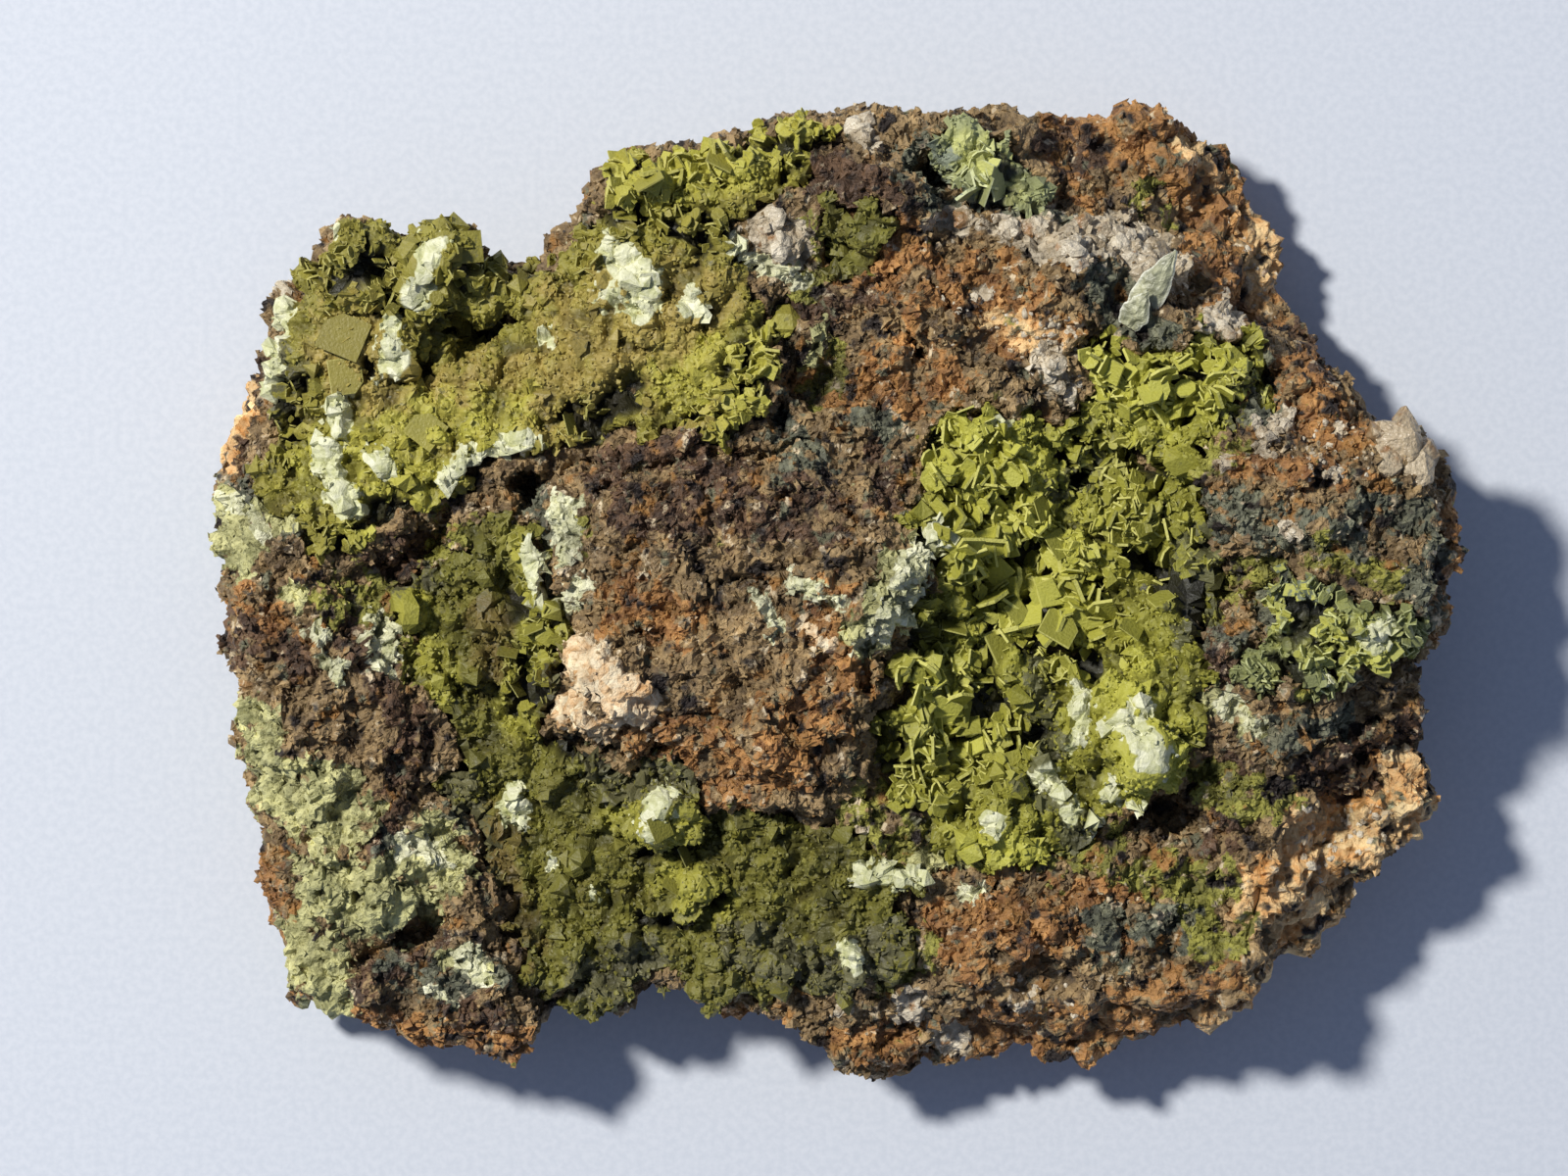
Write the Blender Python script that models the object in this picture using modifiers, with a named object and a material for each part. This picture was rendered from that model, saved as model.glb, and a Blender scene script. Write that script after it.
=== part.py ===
# Wulfenite on matrix: a palm-sized hand specimen, lying on the one flat patch of its underside.
#
# The matrix is a block of brown, iron-stained gossan with knobs, pits, ledges and crevices. Crusts of
# wulfenite grow on its upper side: thin square and eight-sided plates, some flat, most on edge, grown
# together into one body for each crust. Quartz and pale glassy blades stand proud in two places.
#
# Places in plan are pixels of the reference photograph, 1600 by 1200, which looks straight down.
# Heights and sizes are real ones. X is to the right of the photograph, Y to its top, Z up.

import math
import random

import bmesh
import bpy
import numpy as np
from mathutils import Euler, Matrix, Vector, noise
from mathutils.bvhtree import BVHTree

MM = 0.001

# Driving dimensions
SPECIMEN_WIDTH = 108.6 * MM
BLOCK_HEIGHT = 26 * MM
CRUST_THICKNESS = 1.5 * MM
CRUST_ROOT = 1.6 * MM
CRUST_RIM_THICKNESS = 0.25 * MM
JOINT_GAP = 0.3 * MM

# The photograph's frame
LEFT_END_PX = 212
RIGHT_END_PX = 1490
MIDDLE_PX = (851, 602.5)
PIXEL = SPECIMEN_WIDTH / (RIGHT_END_PX - LEFT_END_PX)

# Grain of the meshes
ROCK_GRAIN = 1.4 * MM
CRUST_GRAIN = 1.3 * MM
ROCK_TRIANGLES = 3600
CRUST_TRIANGLES_PER_MM2 = 0.36
UNDERSIDE_CUT = 0.5 * MM

# How the skin of a crust swells from its edge, and how bumpy it is
SKIN_EDGE_SHARE = 0.35
SKIN_EDGE_PX = 40
SKIN_BUMPS = 0.35
LEAST_CRUST_TRIANGLES = 60

# How the plates are spread over a crust, and how they lean from lying flat, in degrees
PLATE_TRIES = 1500
PLATE_SPACING_PX = 24
PLATE_MARGIN_PX = 15
ON_EDGE_TILTS = (55, 85)
FLAT_TILTS = (8, 35)

# How far the plates are sunk: a share of the crust's thickness, and a share of their width
PLATE_SEAT = 0.78
PLATE_RAISED = 0.27
LARGE_PLATE_THICKENING = 1.5
LEAST_CUT_WIDTH = 3
MOST_CUT_TILT = 40
CORNER_CUT = 0.24

# The outline of the whole specimen, clockwise from its left end
OUTLINE = [
    (212, 504), (227, 450), (246, 378), (263, 353), (270, 308), (281, 283), (316, 262), (325, 238),
    (345, 226), (387, 228), (411, 244), (441, 240), (481, 236), (508, 270), (534, 265), (569, 244),
    (597, 213), (605, 179), (635, 170), (665, 153), (698, 153), (740, 141), (777, 131), (817, 117),
    (882, 111), (920, 130), (996, 106), (1022, 119), (1060, 112), (1121, 122), (1164, 94),
    (1187, 110), (1228, 134), (1261, 146), (1285, 205), (1314, 256), (1313, 295), (1342, 326),
    (1358, 369), (1399, 428), (1438, 433), (1462, 472), (1481, 516), (1490, 570), (1481, 608),
    (1465, 636), (1464, 652), (1433, 675), (1448, 725), (1461, 788), (1466, 825), (1424, 880),
    (1372, 939), (1345, 981), (1291, 998), (1267, 1025), (1231, 1057), (1180, 1072), (1131, 1072),
    (1095, 1092), (1049, 1077), (1023, 1075), (997, 1096), (933, 1107), (888, 1111), (855, 1107),
    (805, 1063), (773, 1043), (728, 1050), (693, 1026), (658, 1008), (648, 1042), (600, 1053),
    (555, 1043), (539, 1082), (495, 1074), (418, 1074), (372, 1062), (337, 1039), (287, 1037),
    (281, 985), (254, 880), (256, 843), (248, 827), (234, 706), (226, 678), (216, 609), (226, 593),
    (212, 553),
]

# How high the top stands, in mm, over the surface that the specimen lies on
TOP_HEIGHTS = [
    (240, 430, 13), (300, 300, 16), (400, 260, 17), (520, 300, 14), (620, 200, 19), (700, 250, 20),
    (800, 150, 19), (870, 180, 21), (960, 160, 19), (1060, 160, 16), (1160, 140, 14), (1260, 220, 10),
    (1310, 300, 10), (480, 400, 16), (640, 360, 20), (760, 400, 21), (850, 330, 19), (960, 320, 21),
    (1060, 320, 21), (1180, 310, 19), (1270, 380, 19), (230, 540, 14), (300, 600, 16), (400, 520, 17),
    (440, 620, 13), (520, 520, 17), (590, 560, 19), (700, 560, 21), (820, 520, 20), (900, 480, 20),
    (920, 600, 22), (520, 700, 13), (620, 700, 20), (760, 700, 21), (860, 690, 20), (950, 800, 17),
    (260, 780, 15), (330, 860, 16), (410, 760, 15), (330, 980, 14), (440, 1000, 13), (500, 850, 11),
    (560, 950, 12), (620, 860, 13), (740, 880, 15), (760, 960, 14), (860, 900, 16), (900, 1060, 14),
    (1000, 460, 19), (1100, 480, 15), (1020, 600, 14), (1100, 640, 14), (1150, 560, 14),
    (1000, 740, 14), (1150, 760, 18), (1100, 860, 17), (1220, 680, 20), (1280, 520, 21),
    (1380, 520, 20), (1440, 580, 17), (1340, 640, 19), (1430, 700, 16), (1300, 760, 19),
    (1340, 850, 18.5), (1400, 860, 18), (1330, 940, 17), (1440, 810, 17), (1030, 960, 18),
    (1150, 1000, 17), (1240, 950, 16), (1080, 1060, 13), (960, 1090, 11),
]
HEIGHT_REACH_PX = 52

# Rounded lumps and hollows of the top: place, radius in pixels, rise in mm
LUMPS = [
    (350, 252, 52, 3.6), (466, 262, 46, 3.2), (620, 196, 42, 2.6), (735, 175, 35, 1.4),
    (895, 205, 62, 2.8), (680, 842, 44, 3.6), (690, 915, 34, 2.2), (612, 700, 58, 2.2),
    (1215, 335, 34, 1.6), (1150, 752, 72, 2.8), (1010, 850, 46, 1.8), (872, 985, 46, 1.8),
    (1420, 622, 55, 2.2), (1335, 640, 55, 1.6), (1168, 118, 40, 1.8), (300, 540, 48, 1.6),
    (262, 760, 55, 1.4), (760, 395, 45, 1.4), (1290, 900, 55, 1.8),
    (470, 345, 38, -5.0), (430, 392, 28, -3.0), (540, 497, 20, -4.0), (440, 552, 30, -2.6),
    (510, 600, 26, -2.6), (320, 856, 18, -2.6), (857, 262, 20, -3.4), (950, 180, 20, -3.0),
    (930, 360, 20, -3.0), (1264, 391, 20, -3.0), (1222, 300, 24, -3.2), (1130, 475, 30, -4.0),
    (1180, 560, 26, -4.0), (1240, 602, 28, -4.4), (960, 655, 30, -2.6), (980, 790, 28, -3.2),
    (1275, 612, 20, -3.0), (1190, 832, 32, -3.4), (710, 868, 24, -2.4), (830, 402, 24, -2.2),
    (1330, 480, 30, 1.4), (1110, 150, 26, -1.8), (1010, 960, 40, 1.2), (560, 990, 40, 1.2),
]

# Ledges that end in a step: rise in mm, width of the step in pixels, outline of the ledge
LEDGES = {
    "middle plateau": (2.6, 14, [
        (600, 465), (700, 455), (800, 470), (900, 500), (932, 560), (905, 640), (890, 720),
        (880, 800), (780, 832), (700, 800), (660, 772), (575, 742), (590, 640), (575, 560)]),
    "left strip": (2.4, 14, [
        (200, 550), (300, 560), (385, 650), (445, 720), (428, 800), (472, 870), (505, 940),
        (545, 1090), (270, 1060), (230, 800)]),
    "right block": (1.6, 16, [
        (1212, 470), (1300, 430), (1440, 480), (1510, 570), (1460, 660), (1440, 700), (1300, 770),
        (1235, 700), (1222, 600)]),
    "lower right step": (-3.4, 26, [
        (1296, 858), (1460, 745), (1500, 830), (1350, 1010), (1285, 1010)]),
    "upper right slope": (-2.6, 30, [
        (1040, 90), (1180, 80), (1270, 140), (1330, 260), (1380, 360), (1290, 352), (1212, 272),
        (1085, 240), (1050, 180)]),
    "notch at the top left": (-3.0, 20, [(500, 250), (520, 285), (560, 270), (580, 220), (540, 230)]),
    "bottom rim": (-2.0, 30, [(850, 1050), (1000, 1062), (1240, 1030), (1250, 1100), (850, 1130)]),
}

# Crevices: depth in mm, half width in pixels, course
CREVICES = [
    (3.0, 13, [(365, 975), (410, 960), (455, 935)]),
    (1.8, 12, [(590, 470), (540, 500), (440, 545), (380, 590)]),
    (2.0, 12, [(1130, 850), (1200, 810), (1235, 770)]),
    (1.6, 12, [(800, 330), (815, 390), (790, 440)]),
]

# The crusts: where each lies, how many plates stand on it, and their widths in mm
CRUSTS = {
    "crust_upper_left": {
        "outline": [
            (272, 345), (285, 305), (330, 246), (375, 234), (402, 250), (470, 248), (500, 268),
            (518, 284), (568, 256), (604, 214), (618, 184), (668, 165), (740, 152), (800, 132),
            (845, 132), (838, 158), (812, 190), (800, 215), (762, 228), (742, 260), (752, 290),
            (788, 302), (802, 335), (806, 368), (788, 400), (758, 438), (733, 456), (680, 452),
            (618, 455), (560, 482), (500, 492), (462, 508), (430, 534), (350, 572), (300, 552),
            (262, 500), (268, 440), (266, 390)],
        "plates": 18, "widths": (1.8, 3.0), "thickness": 0.5, "on_edge": 0.55, "grown": 1.0,
        "colour": (0.30, 0.23, 0.035), "seed": 11},
    "crust_lower_left": {
        "outline": [
            (372, 590), (438, 566), (480, 556), (542, 524), (564, 560), (574, 600), (578, 650),
            (562, 690), (556, 742), (600, 778), (680, 786), (728, 836), (800, 838), (850, 832),
            (884, 862), (925, 905), (932, 950), (926, 990), (898, 1010), (850, 1030), (790, 1028),
            (722, 1020), (664, 994), (642, 1025), (600, 1040), (560, 1034), (530, 1000), (508, 925),
            (488, 868), (446, 800), (462, 735), (400, 640)],
        "plates": 16, "widths": (1.6, 2.6), "thickness": 0.5, "on_edge": 0.7, "grown": 1.0,
        "colour": (0.15, 0.14, 0.02), "seed": 23},
    "crust_centre": {
        "outline": [
            (946, 438), (1000, 424), (1070, 442), (1098, 420), (1106, 352), (1140, 345), (1200, 352),
            (1250, 350), (1282, 364), (1284, 398), (1246, 436), (1206, 462), (1200, 520),
            (1240, 560), (1232, 620), (1216, 660), (1224, 700), (1232, 760), (1210, 796),
            (1145, 822), (1106, 872), (1060, 892), (1000, 884), (952, 872), (904, 815), (896, 760),
            (900, 700), (925, 640), (960, 590), (925, 558), (912, 530), (942, 492)],
        "plates": 26, "widths": (2.2, 3.6), "thickness": 0.55, "on_edge": 0.75, "grown": 1.0,
        "colour": (0.36, 0.34, 0.05), "seed": 37},
    "crust_right": {
        "outline": [
            (1256, 576), (1322, 594), (1350, 602), (1400, 620), (1436, 616), (1450, 628),
            (1436, 654), (1398, 676), (1368, 696), (1300, 704), (1250, 706), (1243, 682),
            (1266, 656), (1290, 636)],
        "plates": 10, "widths": (1.5, 2.4), "thickness": 0.5, "on_edge": 0.7, "grown": 0.9,
        "colour": (0.26, 0.27, 0.09), "seed": 41},
    "crust_top": {
        "outline": [
            (926, 146), (960, 134), (1012, 136), (1034, 162), (1044, 192), (1070, 226),
            (1036, 230), (990, 220), (954, 208), (946, 178)],
        "plates": 9, "widths": (1.8, 3.0), "thickness": 0.45, "on_edge": 0.8, "grown": 0.9,
        "colour": (0.22, 0.24, 0.07), "seed": 53},
    "crust_top_pocket": {
        "outline": [(828, 208), (895, 214), (906, 266), (868, 298), (842, 298), (828, 258)],
        "plates": 5, "widths": (1.6, 2.4), "thickness": 0.5, "on_edge": 0.7, "grown": 0.8,
        "colour": (0.18, 0.17, 0.04), "seed": 61},
}

# Large plates that the photograph shows singly: place, width and tilt from lying flat, heading
LARGE_PLATES = {
    "crust_upper_left": [
        (482, 257, 3.6, 20, 10), (355, 345, 5.0, 12, 70), (357, 386, 4.2, 10, 20),
        (438, 440, 3.9, 10, 40), (585, 435, 2.3, 60, 15), (560, 465, 2.2, 15, 80),
        (405, 300, 2.6, 75, 95), (620, 192, 3.4, 50, 30), (664, 192, 3.2, 60, 120),
        (736, 172, 3.0, 55, 60), (700, 318, 2.4, 30, 20)],
    "crust_lower_left": [
        (528, 700, 2.6, 70, 35), (548, 640, 2.4, 65, 120), (690, 900, 3.0, 40, 50),
        (676, 840, 3.0, 35, 10)],
    "crust_centre": [
        (1004, 560, 3.8, 72, 30), (986, 606, 3.2, 62, 20), (1035, 594, 2.4, 40, 70),
        (1019, 606, 2.5, 60, 110), (1036, 624, 2.3, 30, 45), (1078, 640, 3.8, 35, 60),
        (1024, 658, 4.0, 28, 15), (972, 640, 2.6, 66, 75), (964, 702, 4.2, 30, 20),
        (972, 724, 3.4, 35, 60), (986, 740, 2.6, 50, 100), (940, 724, 2.4, 45, 140),
        (1078, 556, 2.8, 40, 30), (1050, 573, 2.3, 55, 160), (1188, 404, 3.0, 70, 60),
        (1266, 366, 2.0, 25, 15), (1090, 590, 2.6, 30, 75), (1120, 620, 2.8, 45, 130)],
    "crust_top": [(1014, 192, 3.4, 60, 10), (1002, 200, 3.0, 72, 165)],
}

# Quartz and glassy blades: place, radius and length in mm, lean from upright, heading
QUARTZ_POINTS = [
    (1424, 458, 2.1, 4.2, 38, 40), (1410, 472, 1.8, 3.6, 44, 150), (1436, 482, 1.5, 3.2, 50, 300),
]
PALE_BLADES = [
    (1178, 298, 1.6, 5.0, 56, 140), (1162, 314, 1.6, 3.6, 46, 250),
]
POINT_TAPER = 0.55
POINT_RISE = 0.22
POINT_LIFT = 0.1

# The flat patch that the specimen lies on, and how the underside rises from it to the rim
SEAT_MIDDLE_PX = (846, 612)
SEAT_RADII_PX = (370, 270)
SEAT_RAGGEDNESS = 0.22
SEAT_END = 0.9
SEAT_TO_RIM = 0.7
UNDERSIDE_RISE = 4.2 * MM
UNDERSIDE_ROUGHNESS = 1.4 * MM
LEAST_BLOCK_HEIGHT = 3 * MM

# The sides: how far they are tucked in at the foot and at the top, at the left end and elsewhere
TUCK_AT_FOOT = 6.5 * MM
TUCK_AT_TOP = 0.9 * MM
TUCK_AT_LEFT = 2.4 * MM
LEFT_SIDE_PX = (260, 380)
TUCK_DEPTH_PX = 120
LEAN_REACH_PX = 35
SIDE_ROUGHNESS = 1.2 * MM
SIDE_DEPTH_PX = 40

# The top: how the rim rounds over, and the height of its coarse and fine roughness where it is bare
RIM_DROP = 1.8 * MM
RIM_WIDTH_PX = 34
COARSE_ROUGHNESS = 1.5 * MM
FINE_ROUGHNESS = 1.1 * MM
CRUST_EVENS_OUT = 0.55
CRUST_EDGE_PX = 20


def smoothstep(value):
    """A soft step from 0 to 1."""
    value = np.clip(value, 0, 1)
    return value * value * (3 - 2 * value)


def plan(px, py):
    """The place in metres of a place in the photograph."""
    return (px - MIDDLE_PX[0]) * PIXEL, (MIDDLE_PX[1] - py) * PIXEL


def pixels(x, y):
    """The place in the photograph of a place in metres."""
    return x / PIXEL + MIDDLE_PX[0], MIDDLE_PX[1] - y / PIXEL


def depth_inside(px, py, outline, closed=True):
    """How far places lie inside an outline, in pixels, and less than zero outside it."""
    nearest = np.full(np.shape(px), np.inf)
    inside = np.zeros(np.shape(px), bool)
    ends = outline[1:] + outline[:1] if closed else outline[1:]
    for (ax, ay), (bx, by) in zip(outline, ends):
        run_x, run_y = bx - ax, by - ay
        along = ((px - ax) * run_x + (py - ay) * run_y) / (run_x * run_x + run_y * run_y)
        along = np.clip(along, 0, 1)
        nearest = np.minimum(nearest, np.hypot(px - ax - along * run_x, py - ay - along * run_y))
        if run_y:
            crosses = (ay > py) != (by > py)
            inside ^= crosses & (px < run_x * (py - ay) / run_y + ax)
    return np.where(inside, nearest, -nearest)


def rough(places, size, seed):
    """Soft noise from about -1 to 1, with lumps of the given size, at a list of places."""
    shift = Vector((seed * 7.3, seed * 3.1, seed * 5.7))
    return np.array([noise.fractal(Vector(place) / size + shift, 1.0, 2.0, 3) for place in places])


def top_height(px, py):
    """The height of the rock's upper side in metres: its lie, lumps, ledges and crevices."""
    total = np.zeros(px.shape)
    weights = np.zeros(px.shape)
    for spot_x, spot_y, height in TOP_HEIGHTS:
        far = np.hypot(px - spot_x, py - spot_y) / HEIGHT_REACH_PX
        weight = 1 / (0.4 + far ** 3)
        total += weight * height
        weights += weight
    height = total / weights
    for spot_x, spot_y, radius, rise in LUMPS:
        far = np.hypot(px - spot_x, py - spot_y) / radius
        height += rise * smoothstep(1.25 - far)
    for rise, step, outline in LEDGES.values():
        height += rise * smoothstep(depth_inside(px, py, outline) / step + 0.5)
    for depth, half_width, course in CREVICES:
        far = -depth_inside(px, py, course, closed=False)
        height -= depth * smoothstep(1 - np.abs(far) / half_width)
    return height * MM


def under_crust(px, py):
    """1 where a crust covers the rock, 0 where the rock is bare."""
    covered = np.zeros(px.shape)
    for spec in CRUSTS.values():
        inside = depth_inside(px, py, spec["outline"])
        covered = np.maximum(covered, smoothstep(inside / CRUST_EDGE_PX))
    return covered


def new_object(name, mesh, collection):
    """An object of a mesh, in a collection."""
    made = bpy.data.objects.new(name, mesh)
    collection.objects.link(made)
    return made


def baked(source):
    """The mesh that an object's curve or modifiers make, with its doubles welded."""
    depsgraph = bpy.context.evaluated_depsgraph_get()
    mesh = bpy.data.meshes.new_from_object(source.evaluated_get(depsgraph))
    shape = bmesh.new()
    shape.from_mesh(mesh)
    bmesh.ops.remove_doubles(shape, verts=shape.verts, dist=1e-7)
    shape.to_mesh(mesh)
    shape.free()
    return mesh


def grained_block(name, outline, height, grain, collection):
    """A block with the plan of an outline, from 0 to a height, divided into cells of one size."""
    curve = bpy.data.curves.new(name, "CURVE")
    curve.dimensions = "2D"
    curve.fill_mode = "BOTH"
    curve.extrude = height / 2
    spline = curve.splines.new("POLY")
    spline.points.add(len(outline) - 1)
    for point, place in zip(spline.points, outline):
        point.co = (*plan(*place), 0, 1)
    spline.use_cyclic_u = True
    flat = new_object(name + "_outline", curve, collection)
    flat.location.z = height / 2
    bpy.context.view_layer.update()
    mesh = baked(flat)
    mesh.transform(flat.matrix_world)
    bpy.data.objects.remove(flat)
    block = new_object(name, mesh, collection)
    remesh = block.modifiers.new("Cells", "REMESH")
    remesh.mode = "VOXEL"
    remesh.voxel_size = grain
    block.data = baked(block)
    block.modifiers.clear()
    return block


def vertex_places(mesh):
    """The vertices of a mesh as an array."""
    places = np.empty(len(mesh.vertices) * 3)
    mesh.vertices.foreach_get("co", places)
    return places.reshape(-1, 3)


def thinned(block, triangles):
    """The mesh of an object, brought down to about a number of triangles."""
    block.data.calc_loop_triangles()
    decimate = block.modifiers.new("Facets", "DECIMATE")
    decimate.ratio = min(1, triangles / len(block.data.loop_triangles))
    mesh = baked(block)
    block.modifiers.clear()
    return mesh


def cut_by(block, operation, cutter, self_crossing=False):
    """The mesh of an object after a Boolean with another object."""
    boolean = block.modifiers.new("Cut", "BOOLEAN")
    boolean.operation = operation
    boolean.object = cutter
    boolean.use_self = self_crossing
    mesh = baked(block)
    block.modifiers.clear()
    return mesh


def keep_largest_body(mesh):
    """Drop the crumbs that a cut leaves, and split the faces that are left into triangles."""
    shape = bmesh.new()
    shape.from_mesh(mesh)
    bmesh.ops.dissolve_degenerate(shape, dist=2e-6, edges=shape.edges)
    left = set(shape.faces)
    bodies = []
    while left:
        front = [left.pop()]
        body = set(front)
        while front:
            for edge in front.pop().edges:
                for face in edge.link_faces if len(edge.link_faces) == 2 else ():
                    if face in left:
                        left.discard(face)
                        body.add(face)
                        front.append(face)
        bodies.append(body)
    bodies.sort(key=len)
    for body in bodies[:-1]:
        bmesh.ops.delete(shape, geom=list(body), context="FACES")
    bmesh.ops.triangulate(shape, faces=shape.faces)
    shape.to_mesh(mesh)
    shape.free()


def rock_finish(name, colour, roughness):
    """A Principled material with a colour and a roughness."""
    material = bpy.data.materials.new(name)
    material.use_nodes = True
    surface = material.node_tree.nodes["Principled BSDF"]
    surface.inputs["Base Color"].default_value = (*colour, 1)
    surface.inputs["Roughness"].default_value = roughness
    surface.inputs["Metallic"].default_value = 0
    return material


def make_matrix(collection):
    """The rock, from a block with the outline's plan."""
    rock = grained_block("matrix", OUTLINE, BLOCK_HEIGHT, ROCK_GRAIN, collection)
    places = vertex_places(rock.data)
    px, py = pixels(places[:, 0], places[:, 1])
    share = np.clip(places[:, 2] / BLOCK_HEIGHT, 0, 1)
    depth = depth_inside(px, py, OUTLINE)

    # The sides are tucked in below, except at the left, where they run out to the foot
    reach = LEAN_REACH_PX
    lean_x = depth_inside(px + reach, py, OUTLINE) - depth_inside(px - reach, py, OUTLINE)
    lean_y = depth_inside(px, py - reach, OUTLINE) - depth_inside(px, py + reach, OUTLINE)
    lean = np.hypot(lean_x, lean_y) + 1e-6
    west = smoothstep((LEFT_SIDE_PX[1] - px) / (LEFT_SIDE_PX[1] - LEFT_SIDE_PX[0]))
    tuck = (TUCK_AT_FOOT * (1 - share) ** 2 + TUCK_AT_TOP * share ** 6) * (1 - west)
    tuck += TUCK_AT_LEFT * share ** 2 * west
    ragged = 1 + 0.7 * rough(places, 9 * MM, 1)
    shift = tuck * ragged * smoothstep(1.1 - depth / TUCK_DEPTH_PX)
    side = smoothstep(1 - depth / SIDE_DEPTH_PX) * np.sin(math.pi * share)
    shift += side * SIDE_ROUGHNESS * rough(places, 6 * MM, 5)
    x = places[:, 0] + shift * lean_x / lean
    y = places[:, 1] + shift * lean_y / lean

    # The top follows the relief and rounds over at the rim, and the underside rises to the rim
    top = top_height(px, py) - RIM_DROP * smoothstep(1 - depth / RIM_WIDTH_PX) ** 2
    bare = 1 - CRUST_EVENS_OUT * under_crust(px, py)
    top += bare * COARSE_ROUGHNESS * rough(places, 8 * MM, 2)
    top += bare * FINE_ROUGHNESS * rough(places, 3.6 * MM, 3)
    from_seat = np.hypot((px - SEAT_MIDDLE_PX[0]) / SEAT_RADII_PX[0],
                         (py - SEAT_MIDDLE_PX[1]) / SEAT_RADII_PX[1])
    from_seat += SEAT_RAGGEDNESS * rough(places * (1, 1, 0), 18 * MM, 6)
    off_seat = smoothstep((from_seat - SEAT_END) / SEAT_TO_RIM)
    foot = off_seat * (UNDERSIDE_RISE + UNDERSIDE_ROUGHNESS * rough(places, 10 * MM, 4))
    foot = np.minimum(foot - UNDERSIDE_CUT * 2, top - LEAST_BLOCK_HEIGHT)
    z = foot + share * (top - foot)
    rock.data.vertices.foreach_set("co", np.stack([x, y, z], axis=1).ravel())
    rock.data = thinned(rock, ROCK_TRIANGLES)

    # The patch it lies on is cut flat
    bpy.ops.mesh.primitive_cube_add(size=1, location=(0, 0, -0.5 - UNDERSIDE_CUT))
    floor_block = bpy.context.object
    floor_block.name = "flat_patch_cutter"
    rock.data = cut_by(rock, "DIFFERENCE", floor_block)
    bpy.data.objects.remove(floor_block)
    keep_largest_body(rock.data)
    rock.data.name = "matrix"
    rock.data.materials.append(rock_finish("limonite gossan", (0.16, 0.075, 0.03), 0.85))
    return rock


def swollen_copy(source, gap, collection):
    """A copy of an object that is larger by a gap on every side, as a cutter."""
    cutter = new_object(source.name + "_cutter", source.data.copy(), collection)
    grow = cutter.modifiers.new("Gap", "DISPLACE")
    grow.strength = gap
    grow.mid_level = 0
    cutter.data = baked(cutter)
    cutter.modifiers.clear()
    cutter.hide_render = True
    cutter.display_type = "WIRE"
    return cutter


def surface_under(surface, x, y):
    """The height and the normal of the surface at a place, or of the nearest rim outside it."""
    hit, normal, _, _ = surface.ray_cast(Vector((x, y, 0.1)), Vector((0, 0, -1)))
    if hit is None:
        hit, normal, _, _ = surface.find_nearest(Vector((x, y, BLOCK_HEIGHT * 0.7)))
    return hit.z, normal


def tabular_crystal(shape, width, thickness, cut_corners, matrix):
    """One wulfenite plate, square or with its four corners cut, in a mesh that collects them."""
    made = bmesh.ops.create_cube(shape, size=1)
    verts = made["verts"]
    bmesh.ops.scale(shape, verts=verts, vec=(width, width, thickness))
    if cut_corners:
        upright = {edge for vert in verts for edge in vert.link_edges
                   if abs(edge.verts[0].co.z - edge.verts[1].co.z) > thickness / 2}
        cut = bmesh.ops.bevel(shape, geom=list(upright), offset=width * CORNER_CUT, segments=1,
                              affect="EDGES", profile=0.5, material=-1)
        verts = list({vert for face in cut["faces"] for vert in face.verts} | {
            vert for vert in verts if vert.is_valid})
    bmesh.ops.transform(shape, verts=verts, matrix=matrix)


def plate_stance(place, tilt, heading):
    """Where a plate stands: its place, its tilt from lying flat and the way it faces."""
    turn = Euler((math.radians(tilt), 0, math.radians(heading))).to_matrix().to_4x4()
    return Matrix.Translation(place) @ turn


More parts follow.
